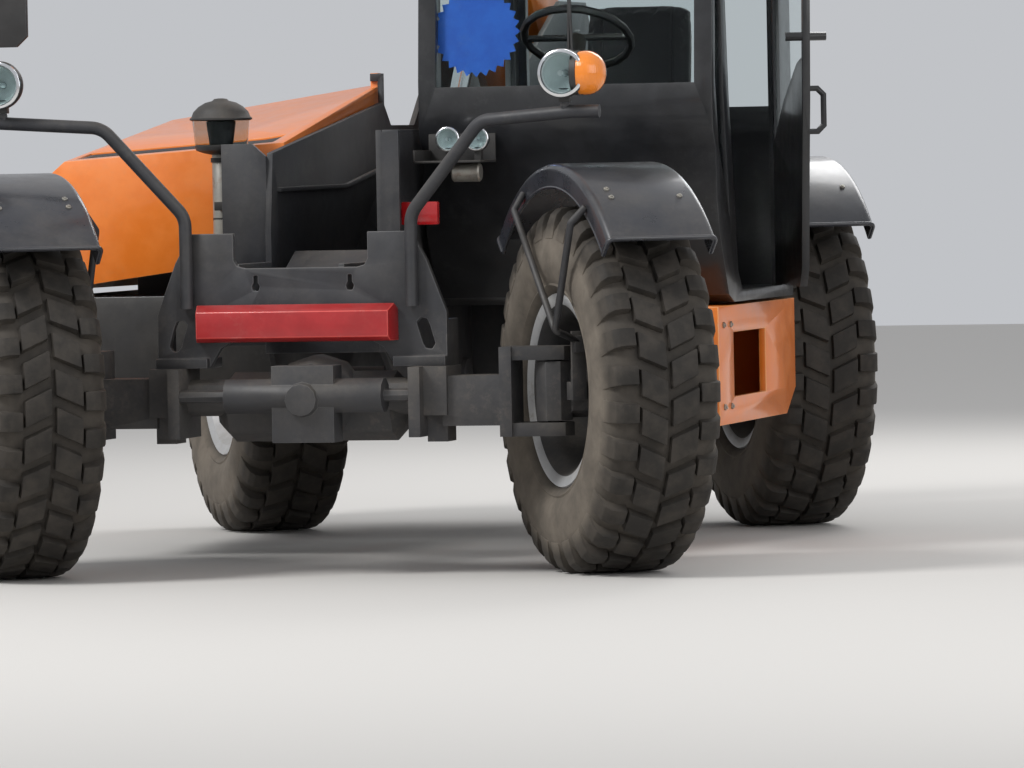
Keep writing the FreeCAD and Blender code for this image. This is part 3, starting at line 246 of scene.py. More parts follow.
def rubber(name):
    # Tyre: dark where it meets the road, beige on the walls from the piece's own attribute: part dust, part
    # painted sunlight on the sidewalls.
    material, tree, shader = newMaterial(name)
    link = tree.links.new
    wall = tree.nodes.new("ShaderNodeAttribute")
    wall.attribute_name = "wallDust"
    skin = placeGroup(tree, grainGroup, Scale=160.0, Waviness=0.5)
    place = tree.nodes.new("ShaderNodeTexCoord").outputs["Object"]
    clouds = ramp(tree, noiseMap(tree, place, 9.0, 6, 0.65), 0.25, 0.75)
    cloudy = math2(tree, "ADD", math2(tree, "MULTIPLY", clouds, 0.5), 0.5)
    dustAndSunlight = math2(tree, "MULTIPLY", wall.outputs["Fac"], cloudy, True)
    tread = mixColour(tree, skin.outputs["Patches"], (0.020, 0.018, 0.016, 1), (0.043, 0.037, 0.031, 1))
    # the beige mixed onto the walls is part dust and part painted sunlight
    link(mixColour(tree, dustAndSunlight, tread, (0.19, 0.163, 0.132, 1)), shader.inputs["Base Color"])
    link(mixValue(tree, dustAndSunlight, 0.72, 0.92), shader.inputs["Roughness"])
    relief = tree.nodes.new("ShaderNodeBump")
    relief.inputs["Strength"].default_value = 0.18
    relief.inputs["Distance"].default_value = 0.002
    link(skin.outputs["Height"], relief.inputs["Height"])
    link(relief.outputs["Normal"], shader.inputs["Normal"])
    shader.inputs["Specular IOR Level"].default_value = 0.3
    return material


def cloth(name, colour, thread):
    # Woven seat cover.
    material, tree, shader = newMaterial(name)
    link = tree.links.new
    place = tree.nodes.new("ShaderNodeTexCoord").outputs["Object"]
    heights = []
    for direction in ("X", "Z"):
        wave = tree.nodes.new("ShaderNodeTexWave")
        wave.bands_direction = direction
        wave.inputs["Scale"].default_value = 180.0
        link(place, wave.inputs["Vector"])
        heights.append(wave.outputs["Fac"])
    weave = math2(tree, "MULTIPLY", heights[0], heights[1])
    link(mixColour(tree, weave, colour, thread), shader.inputs["Base Color"])
    relief = tree.nodes.new("ShaderNodeBump")
    relief.inputs["Strength"].default_value = 0.3
    relief.inputs["Distance"].default_value = 0.001
    link(weave, relief.inputs["Height"])
    link(relief.outputs["Normal"], shader.inputs["Normal"])
    shader.inputs["Roughness"].default_value = 0.9
    shader.inputs["Sheen Weight"].default_value = 0.25
    return material


# each Edge material is lighter than its face material: part worn paint, part painted edge highlight
frameGrey = weathered("frameGrey", (0.017, 0.019, 0.024, 1), (0.025, 0.027, 0.033, 1), roughness=0.46,
                      dust=0.22, scuff=0.3, scuffColour=(0.075, 0.07, 0.065, 1))
frameEdge = weathered("frameEdge", (0.045, 0.048, 0.056, 1), (0.065, 0.067, 0.072, 1), roughness=0.48,
                      dust=0.3, scuff=0.5, scuffColour=(0.14, 0.13, 0.12, 1))
bodyOrange = weathered("bodyOrange", (0.83, 0.195, 0.016, 1), (0.88, 0.225, 0.024, 1), roughness=0.3,
                       coat=0.5, dust=0.2, scuff=0.12, scuffColour=(0.55, 0.28, 0.12, 1), bump=0.02)
orangeEdge = weathered("orangeEdge", (0.90, 0.33, 0.075, 1), (0.92, 0.38, 0.12, 1), roughness=0.35, coat=0.4,
                       dust=0.2, scuff=0.35, scuffColour=(0.6, 0.45, 0.33, 1))
barRed = weathered("barRed", (0.33, 0.007, 0.010, 1), (0.40, 0.011, 0.014, 1), roughness=0.34, coat=0.35,
                   dust=0.12, scuff=0.2, scuffColour=(0.35, 0.08, 0.07, 1), bump=0.03)
redEdge = weathered("redEdge", (0.56, 0.04, 0.035, 1), (0.60, 0.06, 0.05, 1), roughness=0.36, coat=0.3,
                    dust=0.2, scuff=0.3, scuffColour=(0.5, 0.3, 0.27, 1))
cabBlack = weathered("cabBlack", (0.008, 0.009, 0.011, 1), (0.012, 0.013, 0.016, 1), roughness=0.32,
                     coat=0.3, dust=0.1, scuff=0.12, scuffColour=(0.08, 0.08, 0.08, 1), bump=0.03)
blackEdge = weathered("blackEdge", (0.032, 0.034, 0.040, 1), (0.045, 0.047, 0.052, 1), roughness=0.36,
                      coat=0.3, dust=0.15, scuff=0.3, scuffColour=(0.14, 0.135, 0.13, 1))
castGrey = weathered("castGrey", (0.018, 0.020, 0.025, 1), (0.030, 0.031, 0.036, 1), roughness=0.55,
                     dust=0.34, scuff=0.3, scuffColour=(0.12, 0.10, 0.085, 1), grain=90.0, waviness=0.6,
                     bump=0.16)
blackPlastic = weathered("blackPlastic", (0.016, 0.016, 0.017, 1), (0.024, 0.024, 0.025, 1), roughness=0.5,
                         dust=0.25, scuff=0.2, scuffColour=(0.07, 0.07, 0.07, 1), grain=500.0, bump=0.08)
mudguardPlastic = weathered("mudguardPlastic", (0.017, 0.020, 0.028, 1), (0.022, 0.025, 0.034, 1),
                            roughness=0.24, coat=0.35, dust=0.16, scuff=0.15,
                            scuffColour=(0.09, 0.09, 0.095, 1), grain=350.0, bump=0.04)
rimSilver = weathered("rimSilver", (0.48, 0.49, 0.50, 1), (0.56, 0.565, 0.57, 1), roughness=0.36,
                      metallic=0.35, dust=0.4, scuff=0.4, scuffColour=(0.26, 0.22, 0.18, 1), bump=0.04)
chrome = weathered("chrome", (0.72, 0.73, 0.75, 1), (0.78, 0.79, 0.8, 1), roughness=0.1, metallic=1.0,
                   dust=0.1, scuff=0.0, bump=0.01)
mirrorDish = weathered("mirrorDish", (0.84, 0.85, 0.86, 1), (0.93, 0.93, 0.94, 1), roughness=0.22, coat=0.6,
                       dust=0.0, scuff=0.0, bump=0.02)
zincBolt = weathered("zincBolt", (0.36, 0.35, 0.32, 1), (0.45, 0.43, 0.38, 1), roughness=0.4, metallic=0.8,
                     dust=0.3, scuff=0.5, scuffColour=(0.2, 0.11, 0.06, 1), bump=0.06)
darkBolt = weathered("darkBolt", (0.05, 0.05, 0.054, 1), (0.07, 0.07, 0.072, 1), roughness=0.45,
                     metallic=0.4, dust=0.3, scuff=0.5, scuffColour=(0.16, 0.13, 0.1, 1), bump=0.06)
windowGlass = clearGlass("windowGlass", (0.80, 0.86, 0.86, 1))
bowlGlass = clearGlass("bowlGlass", (0.72, 0.78, 0.78, 1), 0.08, 0.5)
signBlue = weathered("signBlue", (0.012, 0.10, 0.52, 1), (0.018, 0.13, 0.60, 1), roughness=0.4, dust=0.1,
                     scuff=0.1, grain=400.0)
headLens = lampLens("headLens", (0.85, 0.88, 0.9, 1))
amberLens = lampLens("amberLens", (0.95, 0.27, 0.02, 1))
redLens = lampLens("redLens", (0.55, 0.01, 0.015, 1))
tyreRubber = rubber("tyreRubber")
seatCloth = cloth("seatCloth", (0.02, 0.02, 0.022, 1), (0.06, 0.06, 0.065, 1))
# the finish of a CAD node's faces and of its softened edges; the edge finish is lighter, part wear and part
# painted edge highlight
finishOfSlot = {"frame_grey": (frameGrey, frameEdge), "body_orange": (bodyOrange, orangeEdge),
                "bumper_red": (barRed, redEdge), "cab_black": (cabBlack, blackEdge),
                "black_plastic": (blackPlastic, blackEdge), "rod_chrome": (chrome, chrome),
                "cast_grey": (castGrey, frameEdge)}
print("materials made:", len(bpy.data.materials))


# Small helpers for pieces

def addObject(name, mesh):
    piece = bpy.data.objects.new(name, mesh)
    bpy.context.scene.collection.objects.link(piece)
    return piece


def settle(piece, body, slot, *materials):
    # Gives a finished piece its materials and body.
    if materials:
        piece.data.materials.clear()
        for material in materials:
            piece.data.materials.append(material)
    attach(piece, body)
    return piece


def applied(piece):
    # The piece with its modifiers made part of its mesh.
    graph = bpy.context.evaluated_depsgraph_get()
    mesh = bpy.data.meshes.new_from_object(piece.evaluated_get(graph))
    piece.modifiers.clear()
    piece.data = mesh
    return piece


# bevels of CAD nodes, the angle from which an edge is sharp, and when points merge and faces join
nodeLook = {"bevel": 0.003, "fine": 0.0012, "segments": 2, "sharp": 38.0, "merge": 0.00005, "flat": 1.0}


def softenEdges(piece, width):
    # the new faces take the piece's second material, its edge finish, lighter than the faces: part wear, part
    # painted edge highlight
    bevel = piece.modifiers.new("bevel", "BEVEL")
    bevel.width = width
    bevel.segments = nodeLook["segments"]
    bevel.limit_method = "ANGLE"
    bevel.angle_limit = math.radians(nodeLook["sharp"])
    bevel.harden_normals = False
    bevel.material = 1
    bevel.miter_outer = "MITER_ARC"


def smoothByAngle(mesh):
    mesh.shade_smooth()
    form = bmesh.new()
    form.from_mesh(mesh)
    for edge in form.edges:
        if len(edge.link_faces) == 2 and edge.calc_face_angle(0.0) > math.radians(nodeLook["sharp"]):
            edge.smooth = False
    form.to_mesh(mesh)
    form.free()


# CAD nodes that keep their shape get clean faces and softened edges, lightly worn and painted lighter as a painted
# edge highlight

fineNodes = {"door", "mirror", "steer_cylinders", "lift_rod", "lift_barrel", "dashboard", "front_axle",
             "rear_axle"}
remadeNodes = {"lamp_arms", "front_lamps", "pre_cleaner", "seat"}
glassNodes = {"cab_glass", "door_glass"}


def dressNode(node, width):
    mesh = frame["nodes"][node].data.copy()
    form = bmesh.new()
    form.from_mesh(mesh)
    bmesh.ops.remove_doubles(form, verts=form.verts, dist=nodeLook["merge"])
    flat = math.radians(nodeLook["flat"])
    bmesh.ops.dissolve_limit(form, angle_limit=flat, verts=form.verts, edges=form.edges)
    form.to_mesh(mesh)
    form.free()
    piece = addObject(node + "Skin", mesh)
    look, edge = finishOfSlot[slotOfNode[node]]
    mesh.materials.clear()
    mesh.materials.append(look)
    mesh.materials.append(edge)
    softenEdges(piece, width)
    applied(piece)
    smoothByAngle(piece.data)
    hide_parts(node)
    return settle(piece, bodyOfNode[node], slotOfNode[node])


wheelNodes = {c + "_" + kind for c in corners for kind in ("tyre", "rim", "mudguard")}
for node in sorted(set(frame["nodes"]) - wheelNodes - remadeNodes):
    if node in glassNodes:
        mesh = frame["nodes"][node].data
        mesh.materials.clear()
        mesh.materials.append(windowGlass)
    else:
        dressNode(node, nodeLook["fine"] if node in fineNodes else nodeLook["bevel"])
print("CAD nodes dressed")


# Geometry node tree for what repeats round a wheel

def newRingTree():
    # copies the piece round the X axis, each turned a step further
    tree = bpy.data.node_groups.new("ringArray", "GeometryNodeTree")
    link = tree.links.new
    for label, kind in (("Geometry", "Geometry"), ("Count", "Int"), ("Step", "Vector"), ("Start", "Vector"),
                        ("Finish", "Material")):
        tree.interface.new_socket(label, in_out="INPUT", socket_type="NodeSocket" + kind)
    tree.interface.new_socket("Geometry", in_out="OUTPUT", socket_type="NodeSocketGeometry")
    given, out = tree.nodes.new("NodeGroupInput"), tree.nodes.new("NodeGroupOutput")
    points = tree.nodes.new("GeometryNodeMeshLine")
    link(given.outputs["Count"], points.inputs["Count"])
    index = tree.nodes.new("GeometryNodeInputIndex")
    scaled = tree.nodes.new("ShaderNodeVectorMath")
    scaled.operation = "SCALE"
    link(given.outputs["Step"], scaled.inputs[0])
    link(index.outputs[0], scaled.inputs["Scale"])
    angle = tree.nodes.new("ShaderNodeVectorMath")
    link(scaled.outputs[0], angle.inputs[0])
    link(given.outputs["Start"], angle.inputs[1])
    still = tree.nodes.new("GeometryNodeSetPosition")
    link(points.outputs[0], still.inputs["Geometry"])
    centre = tree.nodes.new("ShaderNodeCombineXYZ")
    link(centre.outputs[0], still.inputs["Position"])
    spread = tree.nodes.new("GeometryNodeInstanceOnPoints")
    link(still.outputs[0], spread.inputs["Points"])
    link(given.outputs["Geometry"], spread.inputs["Instance"])
    link(angle.outputs[0], spread.inputs["Rotation"])
    real = tree.nodes.new("GeometryNodeRealizeInstances")
    link(spread.outputs[0], real.inputs[0])
    paint = tree.nodes.new("GeometryNodeSetMaterial")
    link(real.outputs[0], paint.inputs["Geometry"])
    link(given.outputs["Finish"], paint.inputs["Material"])
    link(paint.outputs[0], out.inputs[0])
    return tree


ringTree = newRingTree()


def repeated(mesh, count, turn, start=0.0, finish=None):
    # a mesh copied by the ring tree, as a plain mesh
    piece = addObject("repeating", mesh)
    modifier = piece.modifiers.new("array", "NODES")
    modifier.node_group = ringTree
    keys = {item.name: item.identifier for item in ringTree.interface.items_tree if item.in_out == "INPUT"}
    modifier[keys["Count"]] = count
    modifier[keys["Step"]] = (turn, 0, 0)
    modifier[keys["Start"]] = (start, 0, 0)
    modifier[keys["Finish"]] = finish
    piece.update_tag()
    bpy.context.view_layer.update()
    graph = bpy.context.evaluated_depsgraph_get()
    made = bpy.data.meshes.new_from_object(piece.evaluated_get(graph))
    bpy.data.objects.remove(piece)
    return made


def meshFrom(name, points, faces):
    mesh = bpy.data.meshes.new(name)
    mesh.from_pydata([tuple(p) for p in points], [], faces)
    return mesh


def turned(name, profile, steps, ends=False):
    # A smooth turning of (x, radius) points about the X axis; profile is closed unless it has ends.
    count = len(profile)
    points, faces = [], []
    for i in range(steps):
        a = 2 * math.pi * i / steps
        points += [(x, -math.sin(a) * r, math.cos(a) * r) for x, r in profile]
    for i in range(steps):
        n = (i + 1) % steps
        for k in range(count - 1 if ends else count):
            m = (k + 1) % count
            faces.append((i * count + k, i * count + m, n * count + m, n * count + k))
    if ends:
        faces.append([i * count for i in range(steps)])
        faces.append([i * count + count - 1 for i in reversed(range(steps))])
    mesh = meshFrom(name, points, faces)
    outward(mesh)
    return mesh


def outward(mesh):
    form = bmesh.new()
    form.from_mesh(mesh)
    bmesh.ops.remove_doubles(form, verts=form.verts, dist=0.00001)
    bmesh.ops.recalc_face_normals(form, faces=form.faces)
    form.to_mesh(mesh)
    form.free()


def joined(name, meshes, materials):
    # One mesh from several, each with its own material from the list.
    form = bmesh.new()
    for index, mesh in meshes:
        start = len(form.faces)
        form.from_mesh(mesh)
        form.faces.ensure_lookup_table()
        for face in form.faces[start:]:
            face.material_index = index
    whole = bpy.data.meshes.new(name)
    form.to_mesh(whole)
    form.free()
    for material in materials:
        whole.materials.append(material)
    return whole


def softBlock(form, mesh, bevel):
    # the form with all its edges bevelled, as a mesh
    bmesh.ops.bevel(form, geom=form.edges, offset=bevel, segments=2, affect="EDGES", profile=0.6,
                    clamp_overlap=True)
    form.to_mesh(mesh)
    form.free()
    return mesh


def slab(name, section, half, bevel, taper):
    # A bevelled block: an (x, z) section swept half a width each way along Y, narrower at the top by taper.
    low = min(z for x, z in section)
    high = max(z for x, z in section)
    points, faces = [], []
    for side in (-1, 1):
        for x, z in section:
            width = half - taper * (z - low) / (high - low)
            points.append((x, side * width, z))
    n = len(section)
    faces.append(list(range(n)))
    faces.append([n + i for i in reversed(range(n))])
    for i in range(n):
        k = (i + 1) % n
        faces.append((i, n + i, n + k, k))
    mesh = meshFrom(name, points, faces)
    outward(mesh)
    form = bmesh.new()
    form.from_mesh(mesh)
    return softBlock(form, mesh, bevel)


# Wheels

tyreSize = {"outer": 0.615, "carcass": 0.588, "bead": 0.300, "halfWidth": 0.210, "blocks": 30, "steps": 120}
# the last two rim sizes bound the rim's inner side, which is painted darker as painted shade
rimSize = {"steps": 96, "nuts": 10, "nutCircle": 0.142, "nutRadius": 0.0125, "hubNuts": 12, "hubCircle": 0.092,
           "hubNutRadius": 0.0065, "dirtX": 0.070, "dirtRadius": 0.290}


def tyreMesh(phase):
    # Carcass, shoulder blocks and two rows of middle blocks, round the X axis.
    outer, carcass, bead, half = (tyreSize[k] for k in ("outer", "carcass", "bead", "halfWidth"))
    side = [(0.0, carcass + 0.004), (0.085, carcass + 0.002), (0.138, carcass - 0.006),
            (0.172, carcass - 0.024), (0.192, carcass - 0.054), (half - 0.008, 0.500), (half - 0.002, 0.470),
            (half - 0.001, 0.430), (half - 0.005, 0.398), (0.196, 0.370), (0.191, 0.360), (0.194, 0.353),
            (0.184, 0.340), (0.171, 0.330), (0.162, 0.321), (0.156, 0.310), (0.150, bead)]
    profile = side + [(-x, r) for x, r in reversed(side)]
    profile = profile[:-1]
    body = turned("carcass", profile, tyreSize["steps"])
    count = tyreSize["blocks"]
    pitch = 2 * math.pi / count
    shoulder = [(0.108, carcass - 0.02), (0.108, outer - 0.001), (0.140, outer - 0.001), (0.163, outer - 0.007),
                (0.182, outer - 0.026), (0.193, outer - 0.055), (half - 0.008, outer - 0.105),
                (0.18, outer - 0.118)]
    centre = [(0.008, carcass - 0.02), (0.008, outer - 0.001), (0.100, outer - 0.0005), (0.100, carcass - 0.02)]
    meshes = [(0, body)]
    for sign in (1, -1):
        turn = phase * pitch / 2 + (0 if sign > 0 else pitch / 2)
        # columns: section, half width, taper, lean across, turn from the shoulder block
        for section, width, taper, lean, offset in ((shoulder, 0.039, 0.008, 0.0, 0.5),
                                                    (centre, 0.047, 0.004, 0.45, 0.86)):
            block = slab("block", section, width, 0.005, taper)
            middle = sum(x for x, z in section) / len(section)
            for vertex in block.vertices:
                vertex.co.y += lean * (vertex.co.x - middle)
                vertex.co.x *= sign
            if sign < 0:
                block.flip_normals()
            meshes.append((0, repeated(block, count, pitch, turn + offset * pitch, tyreRubber)))
    mesh = joined("tyre", meshes, [tyreRubber])
    # the attribute is high on the sidewalls, part dust and part painted sunlight, and low in the grooves, where it
    # is dust
    dust = mesh.attributes.new("wallDust", "FLOAT", "POINT")
    values = []
    for vertex in mesh.vertices:
        x, y, z = vertex.co
        r = math.hypot(y, z)
        wall = max(0.0, min(1.0, (abs(x) - 0.155) / 0.035)) * max(0.0, min(1.0, (outer - 0.055 - r) / 0.05))
        groove = 0.35 * max(0.0, min(1.0, (carcass + 0.008 - r) / 0.01))
        values.append(max(wall, groove * 0.6 + 0.03))
    dust.data.foreach_set("value", values)
    return mesh


def ringPoints(x, radius, count):
    angles = [2 * math.pi * i / count for i in range(count)]
    return [(x, -math.sin(a) * radius, math.cos(a) * radius) for a in angles]


def hexNut(radius, height):
    # A hexagon nut with a stub of its bolt, along +X.
    points, faces = [], []
    for x, r in ((0, radius), (height * 0.8, radius), (height, radius * 0.86)):
        points += ringPoints(x, r, 6)
    for ring in range(2):
        for i in range(6):
            k = (i + 1) % 6
            faces.append((ring * 6 + i, ring * 6 + k, ring * 6 + 6 + k, ring * 6 + 6 + i))
    faces.append([12, 13, 14, 15, 16, 17])
    start = len(points)
    for x in (height, height * 1.5):
        points += ringPoints(x, radius * 0.5, 8)
    for i in range(8):
        k = (i + 1) % 8
        faces.append((start + i, start + k, start + 8 + k, start + 8 + i))
    faces.append([start + 8 + i for i in range(8)])
    mesh = meshFrom("nut", points, faces)
    outward(mesh)
    return mesh


def rimMesh():
    # Rim, dished disc, planetary hub with its two nut circles.
    lip = [(0.150, 0.2990), (0.157, 0.308), (0.162, 0.319), (0.168, 0.3265), (0.1735, 0.323), (0.172, 0.313),
           (0.1655, 0.301), (0.161, 0.288)]
    drum = [(-0.138, 0.2975), (-0.126, 0.278), (-0.100, 0.268), (0.060, 0.268), (0.098, 0.278), (0.120, 0.2965)]
    dished = [(0.146, 0.280), (0.120, 0.262), (0.102, 0.250), (0.092, 0.235), (0.080, 0.205), (0.070, 0.180),
              (0.070, 0.112), (0.062, 0.112), (0.062, 0.182), (0.072, 0.207), (0.084, 0.238), (0.088, 0.252),
              (-0.100, 0.252), (-0.124, 0.262), (-0.146, 0.278)]
    well = [(-x, r) for x, r in reversed(lip)] + drum + lip + dished
    disc = turned("well", well, rimSize["steps"])
    hub = [(-0.0125, 0.118), (0.050, 0.118), (0.066, 0.160), (0.074, 0.162), (0.078, 0.156), (0.079, 0.124),
           (0.084, 0.118), (0.120, 0.108), (0.145, 0.103), (0.151, 0.098), (0.153, 0.088), (0.166, 0.085),
           (0.172, 0.079), (0.1735, 0.040), (0.1765, 0.036), (0.1775, 0.012)]
    cover = turned("hub", hub, rimSize["steps"], ends=True)
    nut = hexNut(rimSize["nutRadius"], 0.015)
    nut.transform(Matrix.Translation((0.0785, 0, rimSize["nutCircle"])))
    count = rimSize["nuts"]
    nuts = repeated(nut, count, 2 * math.pi / count, finish=zincBolt)
    small = hexNut(rimSize["hubNutRadius"], 0.006)
    small.transform(Matrix.Translation((0.1535, 0, rimSize["hubCircle"])))
    count = rimSize["hubNuts"]
    smallNuts = repeated(small, count, 2 * math.pi / count, finish=darkBolt)
    parts = [(0, disc), (1, cover), (2, nuts), (3, smallNuts)]
    whole = joined("rim", parts, [rimSilver, castGrey, zincBolt, darkBolt])
    for face in whole.polygons:
        # the side towards the axle is painted dark cast grey as painted shade
        x, y, z = face.center
        if face.material_index == 0 and x < rimSize["dirtX"] and math.hypot(y, z) < rimSize["dirtRadius"]:
            face.material_index = 1
    return whole


def wheelPlace(corner):
    # The matrix that takes a wheel about the X axis to its corner, X outwards.
    joint = joints[corner + "_spin"]
    out = Vector(joint["axis"]).normalized()
    back = Vector((0, 0, 1)).cross(out)
    turn = Matrix((out, back, (0, 0, 1))).transposed().to_4x4()
    return Matrix.Translation(joint["pos_m"]) @ turn


tyreOf = {1: tyreMesh(0), -1: tyreMesh(1)}
wholeRim = rimMesh()
for corner in corners:
    place = wheelPlace(corner)
    side = 1 if corner.endswith("left") else -1
    for kind, mesh, node, slotName in (("Tyre", tyreOf[side], "_tyre", "tyre"),
                                       ("Wheel", wholeRim, "_rim", "rim_silver")):
        mesh = mesh.copy()
        mesh.transform(place)
        smoothByAngle(mesh)
        piece = addObject(corner + kind, mesh)
        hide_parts(corner + node)
        settle(piece, corner + "_wheel", slotName)
print("wheels made")


# Smooth pieces in place of faceted ones

def roundedPath(points, bend, steps=8):
    # straight runs joined by arcs
    points = [Vector(p) for p in points]
    path = [points[0]]
    for before, corner, after in zip(points, points[1:], points[2:]):
        arrive, leave = (before - corner).normalized(), (after - corner).normalized()
        half = arrive.angle(leave) / 2
        centre = corner + (arrive + leave).normalized() * (bend / math.sin(half))
        reach = bend / math.tan(half)
        first, last = corner + arrive * reach - centre, corner + leave * reach - centre
        path += [centre + first.slerp(last, i / steps).normalized() * bend for i in range(steps + 1)]
    return path + [points[-1]]


def swept(name, path, radius, sides=20):
    # a round bar along a path, closed at both ends
    points, faces = [], []
    across = (path[1] - path[0]).orthogonal()
    for i, place in enumerate(path):
        ahead = (path[min(i + 1, len(path) - 1)] - path[max(i - 1, 0)]).normalized()
        across = (across - ahead * across.dot(ahead)).normalized()
        up = ahead.cross(across)
        for k in range(sides):
            a = 2 * math.pi * k / sides
            points.append(place + (across * math.cos(a) + up * math.sin(a)) * radius)
    for i in range(len(path) - 1):
        for k in range(sides):
            n = (k + 1) % sides
            faces.append((i * sides + k, i * sides + n, (i + 1) * sides + n, (i + 1) * sides + k))
    faces.append(list(range(sides)))
    faces.append([len(points) - sides + k for k in range(sides)])
    mesh = meshFrom(name, points, faces)
    outward(mesh)
    return mesh


def brick(low, high, bevel=0.002):
    # a box with softened edges
    form = bmesh.new()
    bmesh.ops.create_cube(form, size=1.0)
    for vertex in form.verts:
        vertex.co = Vector([lo + (c + 0.5) * (hi - lo) for c, lo, hi in zip(vertex.co, low, high)])
    return softBlock(form, bpy.data.meshes.new("brick"), bevel)


def aimed(mesh, axis, place):
    # a turning about X put at a place with its X along the axis
    turn = Vector((1, 0, 0)).rotation_difference(Vector(axis)).to_matrix().to_4x4()
    mesh.transform(Matrix.Translation(place) @ turn)
    return mesh


def remade(node, name, meshes, materials):
    # one finished piece in place of a CAD node
    mesh = joined(name, meshes, materials)
    smoothByAngle(mesh)
    piece = addObject(name, mesh)
    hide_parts(node)
    return settle(piece, bodyOfNode[node], slotOfNode[node])


armSize = {"radius": 0.022, "bend": 0.090, "postRadius": 0.014, "y": -1.594, "z": 1.546, "lampX": 0.978,
           "lampZ": 1.673, "footHalf": (0.018, 0.015), "foot": (0.095, 0.050)}
traySize = {"left": 0.208, "right": 0.448, "front": -0.696, "back": -0.4761, "floor": 1.381, "sheet": 0.008,
            "backHeight": 0.100, "sideHeight": 0.045, "lampAt": (0.310, 0.414), "lampY": -0.5858, "lampZ": 1.463,
            "lampSize": 0.54}
front, toLeft, up = (0, -1, 0), (1, 0, 0), (0, 0, 1)


def lampArms():
    parts = []
    for side in (-1, 1):
        route = [(side * 0.395, -1.4263, 0.906), (side * 0.395, -1.4263, 1.215), (side * 0.660, -1.494, 1.522),
                 (side * 1.000, armSize["y"], armSize["z"]), (side * 1.095, armSize["y"], armSize["z"])]
        parts.append((0, swept("arm", roundedPath(route, armSize["bend"]), armSize["radius"])))
        x = side * armSize["lampX"]
        post = [Vector((x, armSize["y"], armSize["z"])), Vector((x, armSize["y"], armSize["lampZ"] - 0.0953))]
        parts.append((0, swept("post", post, armSize["postRadius"], 12)))
        nut = hexNut(0.016, 0.010)
        parts.append((1, aimed(nut, up, (x, armSize["y"], armSize["z"] + 0.018))))
    return remade("lamp_arms", "lampArms", parts, [frameGrey, darkBolt])


def lampParts(place, size):
    # shell, bezel, reflector and lens of a round lamp that looks forward
    shell = [(-0.060, 0.030), (-0.046, 0.046), (-0.020, 0.066), (0.008, 0.078), (0.022, 0.0815), (0.046, 0.0815),
             (0.050, 0.079), (0.050, 0.069), (0.030, 0.068), (0.008, 0.064), (-0.012, 0.050), (-0.030, 0.020)]
    bezel = [(0.048, 0.0805), (0.053, 0.079), (0.0565, 0.074), (0.0565, 0.069), (0.052, 0.0665), (0.047, 0.070)]
    dish = [(0.046, 0.0685), (0.026, 0.062), (0.006, 0.048), (-0.008, 0.028), (-0.012, 0.012), (-0.016, 0.012),
            (-0.013, 0.030), (0.002, 0.050), (0.022, 0.065), (0.042, 0.0705)]
    bulb = [(-0.014, 0.011), (0.004, 0.011), (0.012, 0.008), (0.016, 0.003)]
    lens = [(0.046, 0.067), (0.050, 0.064), (0.056, 0.048), (0.060, 0.028), (0.0615, 0.010), (0.0585, 0.010),
            (0.057, 0.028), (0.053, 0.046), (0.047, 0.062)]
    made = []
    for index, profile, ends in ((0, shell, True), (1, bezel, False), (6, dish, False), (2, bulb, True),
                                 (3, lens, True)):
        part = turned("lamp", [(x * size, r * size) for x, r in profile], 40, ends)
        made.append((index, aimed(part, front, place)))
    return made


def frontLamps():
    parts = []
    for side in (-1, 1):
        x, z = side * armSize["lampX"], armSize["lampZ"]
        parts += lampParts((x, armSize["y"], z), 1.0)
        # black ring and amber dome that looks outwards
        ring = turned("ring", [(0.030, 0.060), (0.030, 0.073), (0.050, 0.0745), (0.052, 0.070)], 40, True)
        dome = [(0.050, 0.0715), (0.070, 0.0735), (0.086, 0.0725), (0.100, 0.068), (0.113, 0.060), (0.124, 0.049),
                (0.132, 0.036), (0.1365, 0.020), (0.138, 0.006)]
        outwards = (side, 0, 0)
        spot = (x, armSize["y"] + 0.006, z)
        parts.append((0, aimed(ring, outwards, spot)))
        parts.append((4, aimed(turned("dome", dome, 40, True), outwards, spot)))
        y, (halfX, halfY), (low, high) = armSize["y"], armSize["footHalf"], armSize["foot"]
        parts.append((0, brick((x - halfX, y - halfY, z - low), (x + halfX, y + halfY, z - high))))
        parts.append((5, aimed(hexNut(0.009, 0.007), front, (x, y - halfY - 0.0002, z - 0.074))))
    # the two work lamps on the cab's tray
    left, right, near, back, floor = (traySize[k] for k in ("left", "right", "front", "back", "floor"))
    sheet = traySize["sheet"]
    parts.append((0, brick((left, near, floor), (right, back, floor + sheet))))
    parts.append((0, brick((left, back - sheet, floor), (right, back, floor + traySize["backHeight"]))))
    parts.append((0, brick((left, near, floor), (left + sheet, back, floor + traySize["sideHeight"]))))
    for x in traySize["lampAt"]:
        lamp = lampParts((x, traySize["lampY"], traySize["lampZ"]), traySize["lampSize"])
        parts += [(5 if index == 0 else index, part) for index, part in lamp]
        parts.append((0, brick((x - 0.012, -0.600, floor + 0.004), (x + 0.012, -0.566, floor + 0.052))))
    finishes = [blackPlastic, chrome, headLens, windowGlass, amberLens, chrome, mirrorDish]
    return remade("front_lamps", "frontLamps", parts, finishes)


cleanerSize = {"x": -0.500, "y": -0.6308, "elbow": 1.176, "elbowRadius": 0.0345, "elbowBend": 0.028,
               "hood": -0.5058, "strap": ((-0.500, -0.7337, 1.231), (-0.325, -0.6308, 1.261))}


